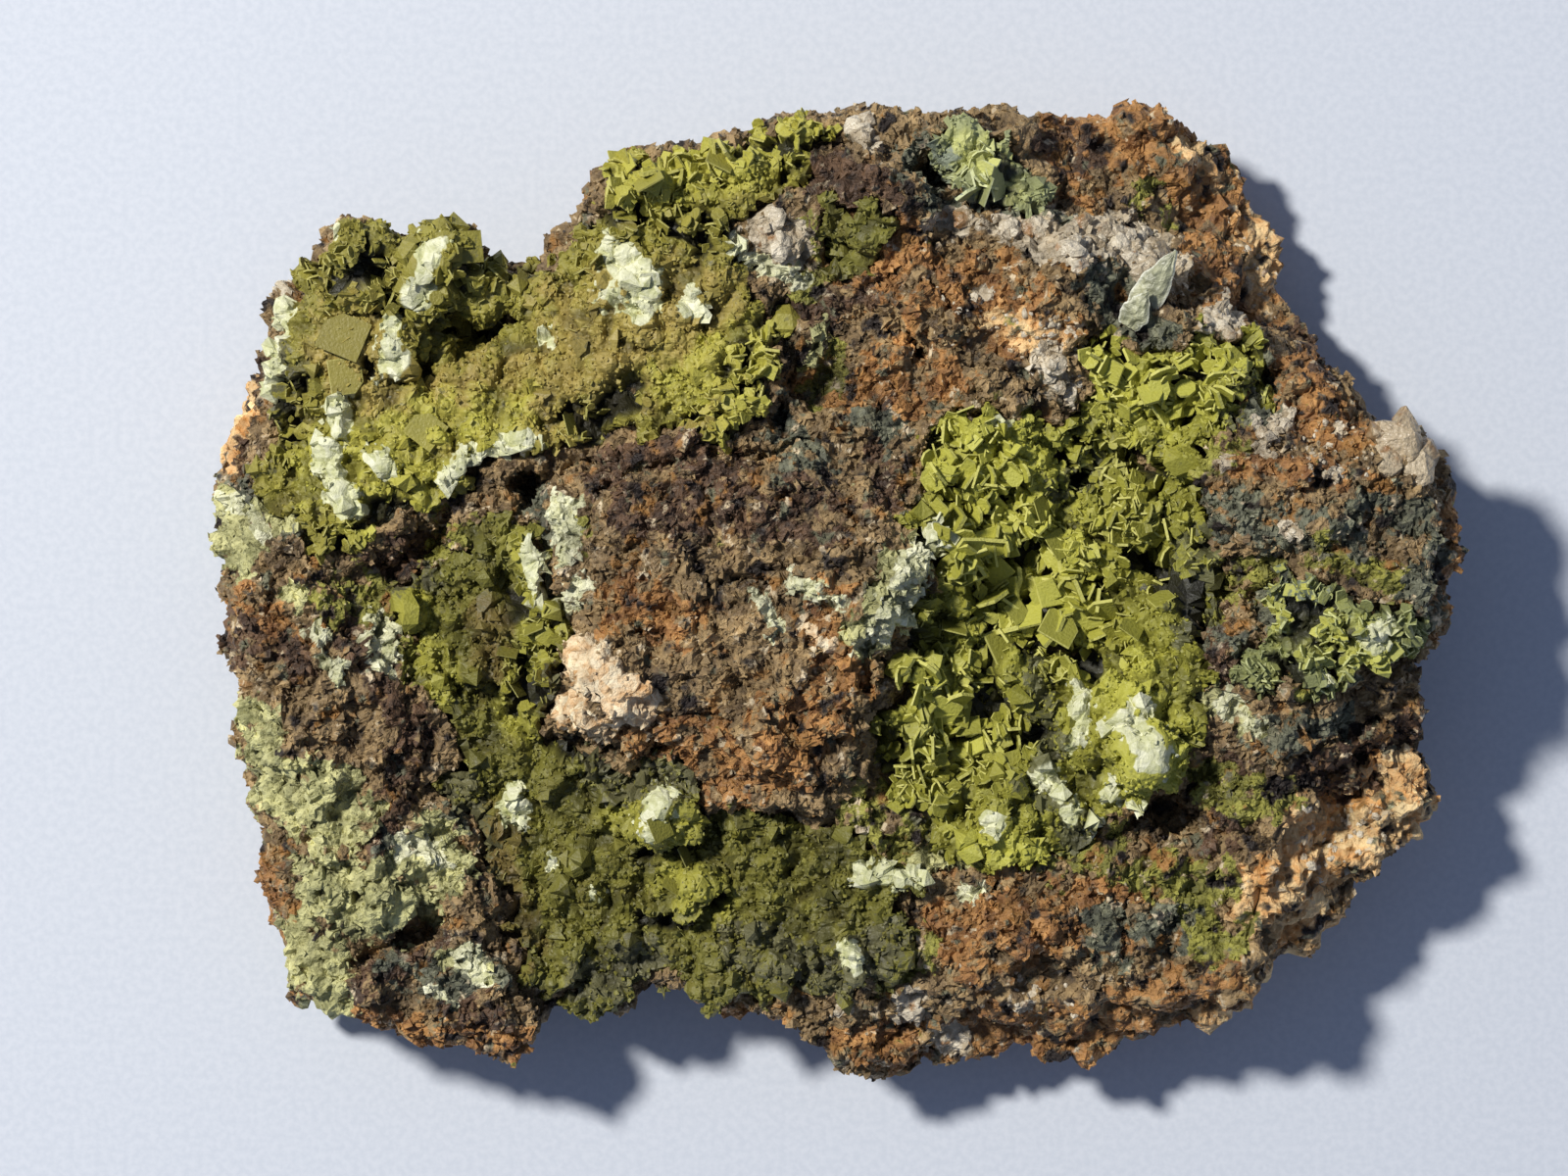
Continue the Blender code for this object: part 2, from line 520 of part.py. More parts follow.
def make_crust(name, spec, surface, rock_cutter, collection):
    """One crust: a skin that follows the rock, with plates grown from it, cut clear of the rock."""
    skin_height = 4 * CRUST_GRAIN
    crust = grained_block(name, spec["outline"], skin_height, CRUST_GRAIN, collection)
    places = vertex_places(crust.data)
    px, py = pixels(places[:, 0], places[:, 1])
    share = np.clip(places[:, 2] / skin_height, 0, 1)
    depth = depth_inside(px, py, spec["outline"])
    body = smoothstep(SKIN_EDGE_SHARE + depth / SKIN_EDGE_PX)
    bumps = 1 + SKIN_BUMPS * rough(places * (1, 1, 0), 2.6 * MM, spec["seed"])
    thickness = CRUST_THICKNESS * spec["grown"] * body * bumps + CRUST_RIM_THICKNESS
    for place, part, thick in zip(places, share, thickness):
        floor, _ = surface_under(surface, place[0], place[1])
        place[2] = floor - CRUST_ROOT + part * (CRUST_ROOT + thick)
    crust.data.vertices.foreach_set("co", places.ravel())
    area = sum(face.area for face in crust.data.polygons if face.normal.z > 0.3)
    triangles = max(LEAST_CRUST_TRIANGLES, int(area / MM ** 2 * CRUST_TRIANGLES_PER_MM2))
    crust.data = thinned(crust, triangles)

    # The plates
    dice = random.Random(spec["seed"])
    plates = bmesh.new()
    for spot_x, spot_y, width, tilt, heading in LARGE_PLATES.get(name, []):
        x, y = plan(spot_x, spot_y)
        floor, _ = surface_under(surface, x, y)
        lift = CRUST_THICKNESS * PLATE_SEAT + PLATE_RAISED * width * MM * math.sin(math.radians(tilt))
        stance = plate_stance(Vector((x, y, floor + lift)), tilt, heading)
        thick = spec["thickness"] * LARGE_PLATE_THICKENING * MM
        eight_sided = width > LEAST_CUT_WIDTH and tilt < MOST_CUT_TILT
        tabular_crystal(plates, width * MM, thick, eight_sided, stance)
    outline = spec["outline"]
    left, right = min(p[0] for p in outline), max(p[0] for p in outline)
    top, bottom = min(p[1] for p in outline), max(p[1] for p in outline)
    grown = [(spot[0], spot[1]) for spot in LARGE_PLATES.get(name, [])]
    wanted = spec["plates"] + len(grown)
    for _ in range(PLATE_TRIES):
        spot = (dice.uniform(left, right), dice.uniform(top, bottom))
        inside = depth_inside(np.array([spot[0]]), np.array([spot[1]]), outline)[0]
        clear = min((math.dist(spot, other) for other in grown), default=PLATE_SPACING_PX)
        if len(grown) == wanted or inside < PLATE_MARGIN_PX or clear < PLATE_SPACING_PX:
            continue
        grown.append(spot)
        width = dice.uniform(*spec["widths"]) * MM
        on_edge = dice.random() < spec["on_edge"]
        tilt = dice.uniform(*(ON_EDGE_TILTS if on_edge else FLAT_TILTS))
        x, y = plan(*spot)
        floor, normal = surface_under(surface, x, y)
        lift = CRUST_THICKNESS * PLATE_SEAT + PLATE_RAISED * width * math.sin(math.radians(tilt))
        place = Vector((x, y, floor)) + normal * lift
        stance = plate_stance(place, tilt, dice.uniform(0, 360))
        tabular_crystal(plates, width, spec["thickness"] * MM, False, stance)
    plate_mesh = bpy.data.meshes.new(name + "_plates")
    plates.to_mesh(plate_mesh)
    plates.free()
    plate_object = new_object(name + "_plates", plate_mesh, collection)
    crust.data = cut_by(crust, "UNION", plate_object, self_crossing=True)
    bpy.data.objects.remove(plate_object)
    crust.data = cut_by(crust, "DIFFERENCE", rock_cutter)
    keep_largest_body(crust.data)
    crust.data.name = name
    crust.data.materials.append(rock_finish(name + " wulfenite", spec["colour"], 0.45))
    return crust


def pointed_crystal(shape, radius, length, flatness, stance):
    """One six-sided prism with a blunt pointed end, in a mesh that collects them."""
    made = bmesh.ops.create_cone(shape, cap_ends=True, segments=6, radius1=radius,
                                 radius2=radius, depth=length)
    faces = {face for vert in made["verts"] for face in vert.link_faces}
    end = max(faces, key=lambda face: face.calc_center_median().z)
    bmesh.ops.inset_individual(shape, faces=[end], thickness=radius * POINT_TAPER)
    bmesh.ops.translate(shape, verts=end.verts, vec=(0, 0, length * POINT_RISE))
    flatten = Matrix.Diagonal((1, flatness, 1, 1))
    bmesh.ops.transform(shape, verts=list(set(made["verts"]) | set(end.verts)),
                        matrix=stance @ flatten)


def make_points(name, spots, flatness, colour, surface, rock_cutter, collection):
    """Crystals with pointed ends that stand on the rock and have grown into one another."""
    shape = bmesh.new()
    for spot_x, spot_y, radius, length, lean, heading in spots:
        x, y = plan(spot_x, spot_y)
        floor, _ = surface_under(surface, x, y)
        turn = Euler((0, math.radians(lean), math.radians(heading))).to_matrix().to_4x4()
        stance = Matrix.Translation((x, y, floor + POINT_LIFT * length * MM)) @ turn
        pointed_crystal(shape, radius * MM, length * MM, flatness, stance)
    mesh = bpy.data.meshes.new(name)
    shape.to_mesh(mesh)
    shape.free()
    cluster = new_object(name, mesh, collection)
    cluster.data = cut_by(cluster, "DIFFERENCE", rock_cutter, self_crossing=True)
    keep_largest_body(cluster.data)
    cluster.data.name = name
    cluster.data.materials.append(rock_finish(name + " crystal", colour, 0.25))
    return cluster


def stand_on_origin(pieces):
    """Move the meshes so that the specimen's box stands on the origin, bottom centre."""
    places = np.vstack([vertex_places(piece.data) for piece in pieces])
    low, high = places.min(axis=0), places.max(axis=0)
    shift = Matrix.Translation((-(low[0] + high[0]) / 2, -(low[1] + high[1]) / 2, -low[2]))
    for piece in pieces:
        piece.data.transform(shift)


def main():
    for old in list(bpy.data.objects):
        bpy.data.objects.remove(old)
    specimen = bpy.data.collections.new("Wulfenite on matrix")
    cutters = bpy.data.collections.new("Cutters")
    bpy.context.scene.collection.children.link(specimen)
    bpy.context.scene.collection.children.link(cutters)

    rock = make_matrix(specimen)
    shape = bmesh.new()
    shape.from_mesh(rock.data)
    surface = BVHTree.FromBMesh(shape)
    shape.free()
    rock_cutter = swollen_copy(rock, JOINT_GAP, cutters)

    pieces = [rock]
    for name, spec in CRUSTS.items():
        pieces.append(make_crust(name, spec, surface, rock_cutter, specimen))
    pieces.append(make_points("quartz_right", QUARTZ_POINTS, 1.0, (0.62, 0.58, 0.55), surface,
                              rock_cutter, specimen))
    pieces.append(make_points("pale_blades", PALE_BLADES, 0.45, (0.5, 0.56, 0.4), surface,
                              rock_cutter, specimen))
    stand_on_origin(pieces)


main()
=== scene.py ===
# Wulfenite on matrix: a palm-sized hand specimen, seen from straight above on a pale floor.
#
# The sections follow the specimen as it grew: the gossan block, the loose-looking grain of its broken
# surface, the wulfenite crusts, the quartz and the pale blades, and last the floor, light and camera.

import math

import bmesh
import bpy
import numpy as np
from mathutils import Matrix, Vector, noise
from mathutils.bvhtree import BVHTree


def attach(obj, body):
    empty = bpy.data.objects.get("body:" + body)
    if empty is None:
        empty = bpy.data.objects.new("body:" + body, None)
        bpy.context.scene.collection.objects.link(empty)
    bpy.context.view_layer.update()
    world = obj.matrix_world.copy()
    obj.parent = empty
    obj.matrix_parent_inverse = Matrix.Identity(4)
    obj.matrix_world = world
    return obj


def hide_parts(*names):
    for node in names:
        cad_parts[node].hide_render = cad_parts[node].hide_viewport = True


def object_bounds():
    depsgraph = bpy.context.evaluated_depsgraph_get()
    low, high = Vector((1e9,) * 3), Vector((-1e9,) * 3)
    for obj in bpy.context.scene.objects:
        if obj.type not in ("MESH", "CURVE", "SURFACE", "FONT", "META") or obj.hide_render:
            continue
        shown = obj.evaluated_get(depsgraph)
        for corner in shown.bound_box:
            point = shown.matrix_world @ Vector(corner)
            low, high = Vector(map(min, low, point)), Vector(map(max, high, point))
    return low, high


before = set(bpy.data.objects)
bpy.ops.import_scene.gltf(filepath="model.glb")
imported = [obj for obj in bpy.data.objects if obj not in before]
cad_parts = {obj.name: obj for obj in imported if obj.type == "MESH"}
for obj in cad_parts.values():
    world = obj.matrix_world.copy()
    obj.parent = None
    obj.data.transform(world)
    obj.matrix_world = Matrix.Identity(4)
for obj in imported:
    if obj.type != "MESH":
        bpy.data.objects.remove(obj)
cad_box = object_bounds()

# The gossan block
# The real piece is limonite and quartz, broken out of the oxidised top of a lead vein: brown, orange and
# slate-grey, porous and crumbly. It carries everything else. Its form is the CAD block, made finer here.

MM = 0.001
LEFT_END_PX = 212
RIGHT_END_PX = 1490
MIDDLE_PX = (851, 602.5)
PIXEL = (cad_box[1][0] - cad_box[0][0]) / (RIGHT_END_PX - LEFT_END_PX)
CRUST_NODES = ["crust_upper_left", "crust_lower_left", "crust_centre", "crust_right", "crust_top",
               "crust_top_pocket"]

# The finer mesh, and how far the rock is sunk under the crusts
ROCK_CELL = 0.78 * MM
BED_DEPTH = 1.8 * MM

# The relief: blocks of three sizes on a slow swell, fading out towards the flat patch underneath
LARGE_BLOCK = 3.4 * MM
SMALL_BLOCK = 1.6 * MM
FINE_BLOCK = 0.85 * MM
ROCK_WAVE = 5.0 * MM
FOOT_HEIGHT = 0.3 * MM
FOOT_RISE = 2.5 * MM

# The ragged edges of the crusts, and the stretch across the rock's surface where a crust may lie
EDGE_WAVE = 3.2 * MM
EDGE_SHIFT = 2.2 * MM
PROBE_DEPTH = 1.2 * MM
PROBE_REACH = 3.4 * MM

# The frayed edges and the patches of a stain, and how strong the stain and its patches are
STAIN_WAVE = 2.6 * MM
STAIN_FRAY = 0.9 * MM
STAIN_PATCH = 2.0 * MM
STAIN_STRENGTH = (0.66, 0.34)
COAT_STRENGTH = (0.78, 0.22)

# Pits and small knobs: place and radius in pixels of the photograph, rise in mm
DIMPLES = [
    (470, 346, 30, -2.6), (430, 392, 20, -2.2), (540, 497, 14, -2.8), (440, 552, 22, -1.6),
    (510, 602, 20, -1.8), (320, 856, 11, -2.4), (857, 263, 14, -2.4), (950, 182, 13, -2.0),
    (930, 361, 13, -2.2), (1264, 391, 13, -2.2), (1215, 300, 18, -2.4), (1130, 475, 20, -2.0),
    (1180, 560, 18, -2.2), (1240, 602, 20, -2.4), (958, 655, 20, -1.6), (980, 790, 18, -2.0),
    (1275, 612, 14, -2.0), (1195, 832, 22, -2.2), (710, 868, 14, -1.8), (830, 402, 14, -1.6),
    (560, 700, 14, -1.2), (1085, 150, 24, -1.4), (1330, 345, 16, -1.4), (300, 700, 14, -1.2),
    (395, 820, 12, -1.4), (1010, 905, 16, -1.0), (800, 318, 16, -1.8), (655, 560, 18, -0.9),
    (760, 700, 20, -0.9), (1385, 720, 20, -1.6), (1420, 850, 14, -1.2), (1150, 1010, 18, -1.0),
    (612, 700, 26, 0.9), (680, 842, 24, 1.0), (1152, 760, 30, 1.0), (1160, 320, 14, 0.8),
    (1340, 540, 18, 0.8), (880, 640, 18, 0.7), (1330, 900, 26, 0.9), (1090, 250, 20, 0.8),
    (1366, 806, 22, -2.4), (1396, 776, 28, -2.8), (1426, 750, 22, -2.4), (626, 696, 34, 1.3),
    (598, 728, 20, 0.9), (330, 800, 30, 0.8), (946, 558, 16, 1.7), (926, 592, 17, 1.9), (902, 634, 17, 1.7),
    (400, 915, 22, 0.9),
]

# Crevices: half width in pixels, depth in mm, course
CREVICES = [
    (8, 2.6, [(365, 975), (410, 960), (455, 935)]),
    (7, 1.8, [(600, 468), (560, 490), (530, 520)]),
    (8, 1.8, [(455, 530), (440, 560), (400, 580)]),
    (7, 1.8, [(800, 330), (812, 380), (795, 430)]),
    (9, 3.0, [(566, 752), (604, 766), (640, 770), (678, 758)]),
    (7, 2.0, [(1130, 852), (1190, 815), (1225, 790)]),
    (6, 1.6, [(940, 600), (950, 650), (985, 690)]),
    (6, 1.4, [(1300, 770), (1380, 745), (1440, 705)]),
    (5, 1.2, [(430, 700), (445, 760), (430, 810), (480, 880), (500, 930)]),
    (5, 1.2, [(1205, 470), (1225, 540), (1250, 590)]),
    (13, 3.0, [(1212, 548), (1228, 600), (1216, 655)]), (9, 2.6, [(1110, 476), (1136, 484)]),
    (8, 2.4, [(884, 660), (880, 705)]), (9, 2.4, [(938, 600), (958, 652), (1000, 672)]),
    (10, 2.2, [(1196, 300), (1210, 320)]), (9, 2.4, [(940, 172), (962, 186)]),
    (9, 2.4, [(540, 490), (548, 508)]), (8, 2.2, [(470, 345), (500, 352), (520, 335)]),
    (8, 2.0, [(1060, 672), (1100, 668)]), (9, 2.2, [(1270, 395), (1300, 380)]),
    (7, 2.0, [(862, 255), (870, 275)]), (8, 2.0, [(1350, 790), (1390, 770)]),
    (8, 2.2, [(612, 496), (660, 480), (720, 466), (790, 464), (830, 452)]),
]

# Stains of the rock, with a few painted shadows among the dark ones, as strokes of the photograph's pixels:
# half width and course
STAINS_AND_SHADOWS = {
    "rust": [
        (36, [(640, 615), (700, 640)]), (45, [(760, 780), (820, 740)]), (32, [(700, 760), (660, 740)]),
        (30, [(860, 700), (840, 620)]), (45, [(900, 280), (1000, 290), (1050, 330)]),
        (40, [(960, 380), (880, 400)]), (55, [(1120, 130), (1180, 140), (1240, 200), (1280, 280)]),
        (28, [(1270, 400), (1380, 440)]), (26, [(1330, 380), (1340, 440)]), (24, [(1250, 470), (1370, 485)]),
        (50, [(980, 950), (1060, 930), (1120, 920)]), (42, [(1000, 1060), (1100, 1060), (1230, 1000)]),
        (28, [(870, 1070), (930, 1080)]), (24, [(270, 890), (285, 960)]),
        (26, [(300, 1025), (400, 1055), (520, 1065)]), (20, [(245, 600), (300, 650)]),
        (16, [(1480, 530), (1480, 620)]), (18, [(710, 1040), (790, 1045)]),
        (14, [(1060, 200), (1110, 215)]), (16, [(440, 610), (480, 640)])],
    # Most dark strokes are dark brown stain. Painted shadow: the black line under the upper left crust's
    # edge, the ledge's shadow at the lower right and the dark hollow right of the centre crust
    "dark": [
        (22, [(620, 472), (700, 465), (760, 492)]), (34, [(640, 510), (740, 520), (830, 520)]),
        (24, [(350, 610), (392, 690), (428, 740), (415, 800), (400, 850)]),
        (26, [(240, 645), (305, 665)]), (22, [(370, 1000), (450, 970), (500, 1040)]),
        (34, [(850, 180), (890, 205), (860, 245)]), (14, [(800, 312), (845, 322)]),
        (22, [(1070, 150), (1110, 155)]), (16, [(1325, 330), (1360, 400)]),
        (20, [(1330, 795), (1400, 750)]), (28, [(1240, 780), (1240, 850)]),
        (26, [(390, 575), (450, 560)]), (18, [(460, 645), (500, 622)]), (18, [(890, 430), (905, 505)]),
        (20, [(830, 320), (870, 300)]), (24, [(1220, 600), (1235, 680)]), (14, [(255, 360), (235, 470)]),
        (20, [(800, 850), (850, 880)]), (26, [(1350, 815), (1395, 780), (1435, 745)])],
    "slate": [
        (26, [(225, 500), (300, 520)]), (28, [(1230, 530), (1330, 545), (1440, 525)]),
        (28, [(1425, 640), (1460, 560)]), (24, [(790, 425), (820, 470)]),
        (30, [(1120, 290), (1170, 340)]),
        (22, [(935, 160), (955, 215)]), (20, [(1040, 225), (1085, 245)]),
        (32, [(1130, 950), (1190, 940)]), (22, [(1285, 420), (1270, 375)]),
        (24, [(420, 990), (500, 990)]), (24, [(1050, 690), (1040, 765)]),
        (22, [(1290, 620), (1360, 685)]), (20, [(870, 905), (850, 965)]), (16, [(545, 500), (560, 560)]),
        (20, [(1190, 660), (1260, 650)]), (18, [(400, 870), (470, 830)]), (22, [(880, 430), (930, 450)]),
        (20, [(1285, 745), (1360, 735)])],
    "lemon": [
        (44, [(280, 790), (340, 830)]), (28, [(268, 730), (280, 760)]),
        (38, [(330, 900), (400, 930), (450, 885)]), (18, [(442, 850), (462, 900)]),
        (38, [(310, 960), (335, 1010)]), (12, [(450, 980), (480, 970)]),
        (24, [(228, 520), (250, 570)]), (20, [(275, 512), (322, 540)]), (14, [(290, 600), (310, 612)]),
        (28, [(948, 550), (915, 592), (888, 645)]), (18, [(1240, 720), (1270, 735)]),
        (20, [(940, 880), (1000, 860)]), (14, [(838, 345), (828, 375)])],
    "cream": [
        (13, [(330, 645), (352, 690)]), (16, [(385, 640), (395, 680)]), (12, [(545, 575), (560, 625)]),
        (12, [(583, 515), (572, 560)]), (10, [(590, 600), (565, 650)]), (12, [(235, 515), (262, 535)]),
        (11, [(800, 590), (850, 612)]), (10, [(1250, 722), (1275, 742)]), (9, [(985, 905), (1010, 900)]),
        (12, [(895, 630), (880, 655)]), (8, [(445, 1005), (470, 1015)]), (12, [(420, 860), (450, 872)]),
        (10, [(480, 965), (492, 1000)]), (10, [(770, 600), (790, 640)]),
        (19, [(948, 555), (925, 592), (898, 640)]),
        (15, [(756, 262), (790, 282), (812, 296)]), (10, [(500, 548), (520, 552)])],
    "peach": [
        (34, [(600, 680), (642, 712)]), (20, [(608, 740), (580, 720)]), (10, [(820, 640), (850, 660)])],
    "quartz": [
        (22, [(778, 240), (808, 256)]), (15, [(872, 132), (890, 142)]),
        (13, [(948, 228), (1010, 232), (1055, 236)]), (28, [(1090, 250), (1150, 245), (1185, 280)]),
        (20, [(1228, 338), (1255, 322)]), (16, [(1285, 440), (1300, 430)]),
        (22, [(1010, 800), (1050, 790)]), (12, [(876, 848), (878, 885)]), (18, [(925, 1020), (930, 1035)]),
        (16, [(955, 1060), (985, 1065)]), (12, [(856, 1030)]), (14, [(1045, 1022)]),
        (12, [(1305, 545)]), (12, [(1355, 482)]), (12, [(1245, 470)]), (13, [(1095, 700), (1085, 750)]),
        (13, [(1080, 400), (1062, 365)]), (10, [(1000, 300)]), (10, [(1360, 440)]), (12, [(283, 292)])],
    "tan": [
        (46, [(1330, 870), (1420, 825)]), (40, [(1335, 950), (1300, 900)]), (24, [(1440, 790)]),
        (22, [(1275, 225), (1300, 290)]), (18, [(1210, 150), (1240, 170)]), (18, [(240, 400), (228, 470)]),
        (16, [(1300, 1000), (1230, 1050)]), (20, [(1020, 330), (1060, 350)])],
    "olive": [
        (28, [(350, 600), (430, 625)]), (34, [(430, 660), (500, 700)]), (30, [(840, 905), (800, 870)]),
        (34, [(1170, 880), (1235, 905), (1245, 955)]), (20, [(832, 400), (842, 360)]),
        (20, [(1165, 205), (1195, 225)]), (34, [(930, 860), (880, 830)]), (18, [(820, 240), (822, 300)]),
        (24, [(1245, 440), (1225, 470)]), (20, [(1340, 560), (1410, 590)]), (20, [(1000, 690), (1060, 700)]),
        (22, [(870, 980), (900, 1000)]), (24, [(1080, 880), (1130, 850)]), (18, [(1290, 660), (1330, 700)]),
        (22, [(1250, 600), (1290, 590)]), (18, [(760, 850), (740, 880)]),
        (20, [(455, 548), (520, 538), (592, 548)]), (22, [(890, 950), (940, 975)]),
        (26, [(1225, 800), (1300, 812)])],
}
SMOOTH_COATS = ["lemon", "cream", "peach", "quartz", "tan"]

# Where the rock stands in rounded knobs of a few millimetres: half width in pixels and course
KNOBBLY_STROKES = [
    (60, [(1060, 130), (1180, 140), (1240, 220), (1300, 330)]), (40, [(1330, 860), (1400, 830)]),
    (40, [(1000, 1050), (1200, 1030), (1290, 940)]), (30, [(860, 170), (830, 260)]),
]


def from_pixels(px, py):
    """The place in metres of a place in the photograph."""
    return (px - MIDDLE_PX[0]) * PIXEL, (MIDDLE_PX[1] - py) * PIXEL


def to_pixels(places):
    """The places in the photograph of places in metres."""
    return places[:, 0] / PIXEL + MIDDLE_PX[0], MIDDLE_PX[1] - places[:, 1] / PIXEL


def smoothstep(value):
    """A soft step from 0 to 1."""
    value = np.clip(value, 0, 1)
    return value * value * (3 - 2 * value)


def rough(places, size, seed, octaves=3):
    """Soft noise from about -1 to 1, with lumps of the given size, at a list of places."""
    shift = Vector((seed * 7.3, seed * 3.1, seed * 5.7))
    inverse = 1 / size
    return np.array([noise.fractal(Vector(place) * inverse + shift, 1.0, 2.0, octaves)
                     for place in places])


# A cell's chances are read this many times further out than its middle, so that no two cells share them
CHANCE_STEP = 57.3
HALF = Vector((0.5, 0.5, 0.5))


def cells_of(places, size, seed, way):
    """For each place, in cells of a size in metres: how it lies from the middle of its cell, how far
    the nearest middles are, and three chances of the cell from 0 to 1."""
    shift = Vector([seed * part for part in way])
    inverse = 1 / size
    for place in places:
        spot = Vector(place) * inverse + shift
        far, middles = noise.voronoi(spot)
        yield spot - middles[0], far, noise.cell_vector(middles[0] * CHANCE_STEP)


def blocky(places, size, seed, crease=0.5):
    """Blocky grains of about one size, each with its own height and lean, and creases between."""
    heights = []
    for offset, far, chance in cells_of(places, size, seed, (3.7, 8.1, 2.3)):
        lean = chance - HALF
        edge = min((far[1] - far[0]) * 4, 1)
        heights.append(lean.x + 1.6 * offset.dot(lean) - crease * (1 - edge))
    return np.array(heights)


def pebbled(places, size, seed):
    """Rounded grains of about one size with sharp creases between, from about -0.6 to 0.5."""
    return np.array([0.45 - far[0] * far[0] * 1.6 + 0.5 * (chance - HALF).x
                     for _, far, chance in cells_of(places, size, seed, (2.9, 6.3, 4.1))])


def pitted(places, size, seed, share):
    """Up to 1 in round pits, in a share of the cells of a size in metres."""
    depth = [(0.2 + 0.16 * chance.y - far[0]) / 0.1 if chance.x < share else 0
             for _, far, chance in cells_of(places, size, seed, (6.1, 2.7, 4.3))]
    return smoothstep(np.array(depth))


def line_distance(px, py, course):
    """The distance of places from a course of points, all in pixels."""
    if len(course) == 1:
        return np.hypot(px - course[0][0], py - course[0][1])
    nearest = np.full(np.shape(px), np.inf)
    for (ax, ay), (bx, by) in zip(course, course[1:]):
        run_x, run_y = bx - ax, by - ay
        along = ((px - ax) * run_x + (py - ay) * run_y) / (run_x * run_x + run_y * run_y)
        along = np.clip(along, 0, 1)
        nearest = np.minimum(nearest, np.hypot(px - ax - along * run_x, py - ay - along * run_y))
    return nearest


def stained(places, strokes, seed, ragged, most=1.0, patches=0.0):
    """Up to 1 on the strokes and 0 away from them, with ragged edges and, if asked, in patches."""
    px, py = to_pixels(places)
    wander = ragged * (rough(places, STAIN_WAVE, seed, 3) + 0.8 * rough(places, STAIN_FRAY, seed + 1, 2))
    mask = np.zeros(len(places))
    for half_width, course in strokes:
        away = line_distance(px, py, course) + wander * (0.5 + half_width / 30)
        mask = np.maximum(mask, smoothstep((half_width - away) / (half_width * 0.75) + 0.45))
    mask *= most
    if patches:
        mask += patches * rough(places, STAIN_PATCH, seed + 40, 3)
    return np.clip(mask, 0, 1)


def places_of(mesh):
    """The vertices of a mesh as an array."""
    places = np.empty(len(mesh.vertices) * 3)
    mesh.vertices.foreach_get("co", places)
    return places.reshape(-1, 3)


def normals_of(mesh):
    """The normals at the vertices of a mesh as an array."""
    normals = np.empty(len(mesh.vertices) * 3)
    mesh.vertex_normals.foreach_get("vector", normals)
    return normals.reshape(-1, 3)


def move_to(mesh, places):
    """Give the vertices of a mesh new places."""
    mesh.vertices.foreach_set("co", places.ravel())
    mesh.update()


def keep_values(mesh, kept):
    """Keep numbers for each vertex as attributes, under their names."""
    for name, values in kept.items():
        mesh.attributes.new(name, "FLOAT", "POINT")
        mesh.attributes[name].data.foreach_set("value", np.asarray(values, np.float32))


def new_piece(name, mesh, finish=None):
    """An object of a mesh, in the scene, all in one finish if it is given."""
    if finish:
        mesh.materials.clear()
        mesh.materials.append(finish)
    piece = bpy.data.objects.new(name, mesh)
    bpy.context.scene.collection.objects.link(piece)
    return piece


def with_modifier(mesh, kind, chosen=None, **settings):
    """The mesh after one modifier, on chosen vertices only if they are given."""
    carrier = new_piece("carrier", mesh)
    modifier = carrier.modifiers.new(kind, kind)
    if chosen:
        carrier.vertex_groups.new(name="chosen").add(chosen, 1, "REPLACE")
        modifier.vertex_group = "chosen"
    for key, value in settings.items():
        setattr(modifier, key, value)
    depsgraph = bpy.context.evaluated_depsgraph_get()
    made = bpy.data.meshes.new_from_object(carrier.evaluated_get(depsgraph))
    bpy.data.objects.remove(carrier)
    return made


def mesh_of(shape, name):
    """A mesh of a bmesh, which is then freed."""
    mesh = bpy.data.meshes.new(name)
    shape.to_mesh(mesh)
    shape.free()
    return mesh


def welded_copy(node):
    """The mesh of a CAD node, with its loose triangles merged."""
    shape = bmesh.new()
    shape.from_mesh(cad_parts[node].data)
    bmesh.ops.remove_doubles(shape, verts=shape.verts, dist=1e-6)
    return mesh_of(shape, node + "_copy")


def tree_of(mesh):
    """A search tree over the faces of a mesh."""
    shape = bmesh.new()
    shape.from_mesh(mesh)
    tree = BVHTree.FromBMesh(shape)
    shape.free()
    return tree


def spread_out(mesh, values, rounds):
    """Values evened out over the neighbours of each vertex, a number of times."""
    ends = np.empty(len(mesh.edges) * 2, np.int32)
    mesh.edges.foreach_get("vertices", ends)
    first, second = ends.reshape(-1, 2).T
    count = np.bincount(first, minlength=len(values)) + np.bincount(second, minlength=len(values))
    for _ in range(rounds):
        total = np.bincount(first, weights=values[second], minlength=len(values))
        total += np.bincount(second, weights=values[first], minlength=len(values))
        values = (values + total) / (1 + count)
    return values


def finer_top(mesh, bare):
    """Halve the faces on the bare part of the upper side, where the grain of the rock shows."""
    shape = bmesh.new()
    shape.from_mesh(mesh)
    shape.verts.ensure_lookup_table()
    edges = set()
    for face in shape.faces:
        if face.normal.z > 0.1 and all(bare[vert.index] for vert in face.verts):
            edges.update(face.edges)
    bmesh.ops.subdivide_edges(shape, edges=list(edges), cuts=1, use_grid_fill=True)
    shape.to_mesh(mesh)
    shape.free()


rock_mesh = with_modifier(welded_copy("matrix"), "REMESH", mode="VOXEL", voxel_size=ROCK_CELL)
crust_trees = {node: tree_of(welded_copy(node)) for node in CRUST_NODES}


def cover_of(places, normals):
    """For each crust, 1 where it covers the rock and 0 elsewhere."""
    shift_x = rough(places, EDGE_WAVE, 31) * EDGE_SHIFT
    shift_y = rough(places, EDGE_WAVE, 32) * EDGE_SHIFT
    cover = {node: np.zeros(len(places)) for node in CRUST_NODES}
    for index, (place, normal) in enumerate(zip(places, normals)):
        if normal[2] < 0:
            continue
        start = Vector((place[0] + shift_x[index], place[1] + shift_y[index], place[2] - PROBE_DEPTH))
        for node, tree in crust_trees.items():
            if tree.ray_cast(start, Vector((0, 0, 1)), PROBE_REACH)[0]:
                cover[node][index] = 1
                break
    return cover


coarse_cover = sum(cover_of(places_of(rock_mesh), normals_of(rock_mesh)).values())
finer_top(rock_mesh, spread_out(rock_mesh, coarse_cover, 3) < 0.7)

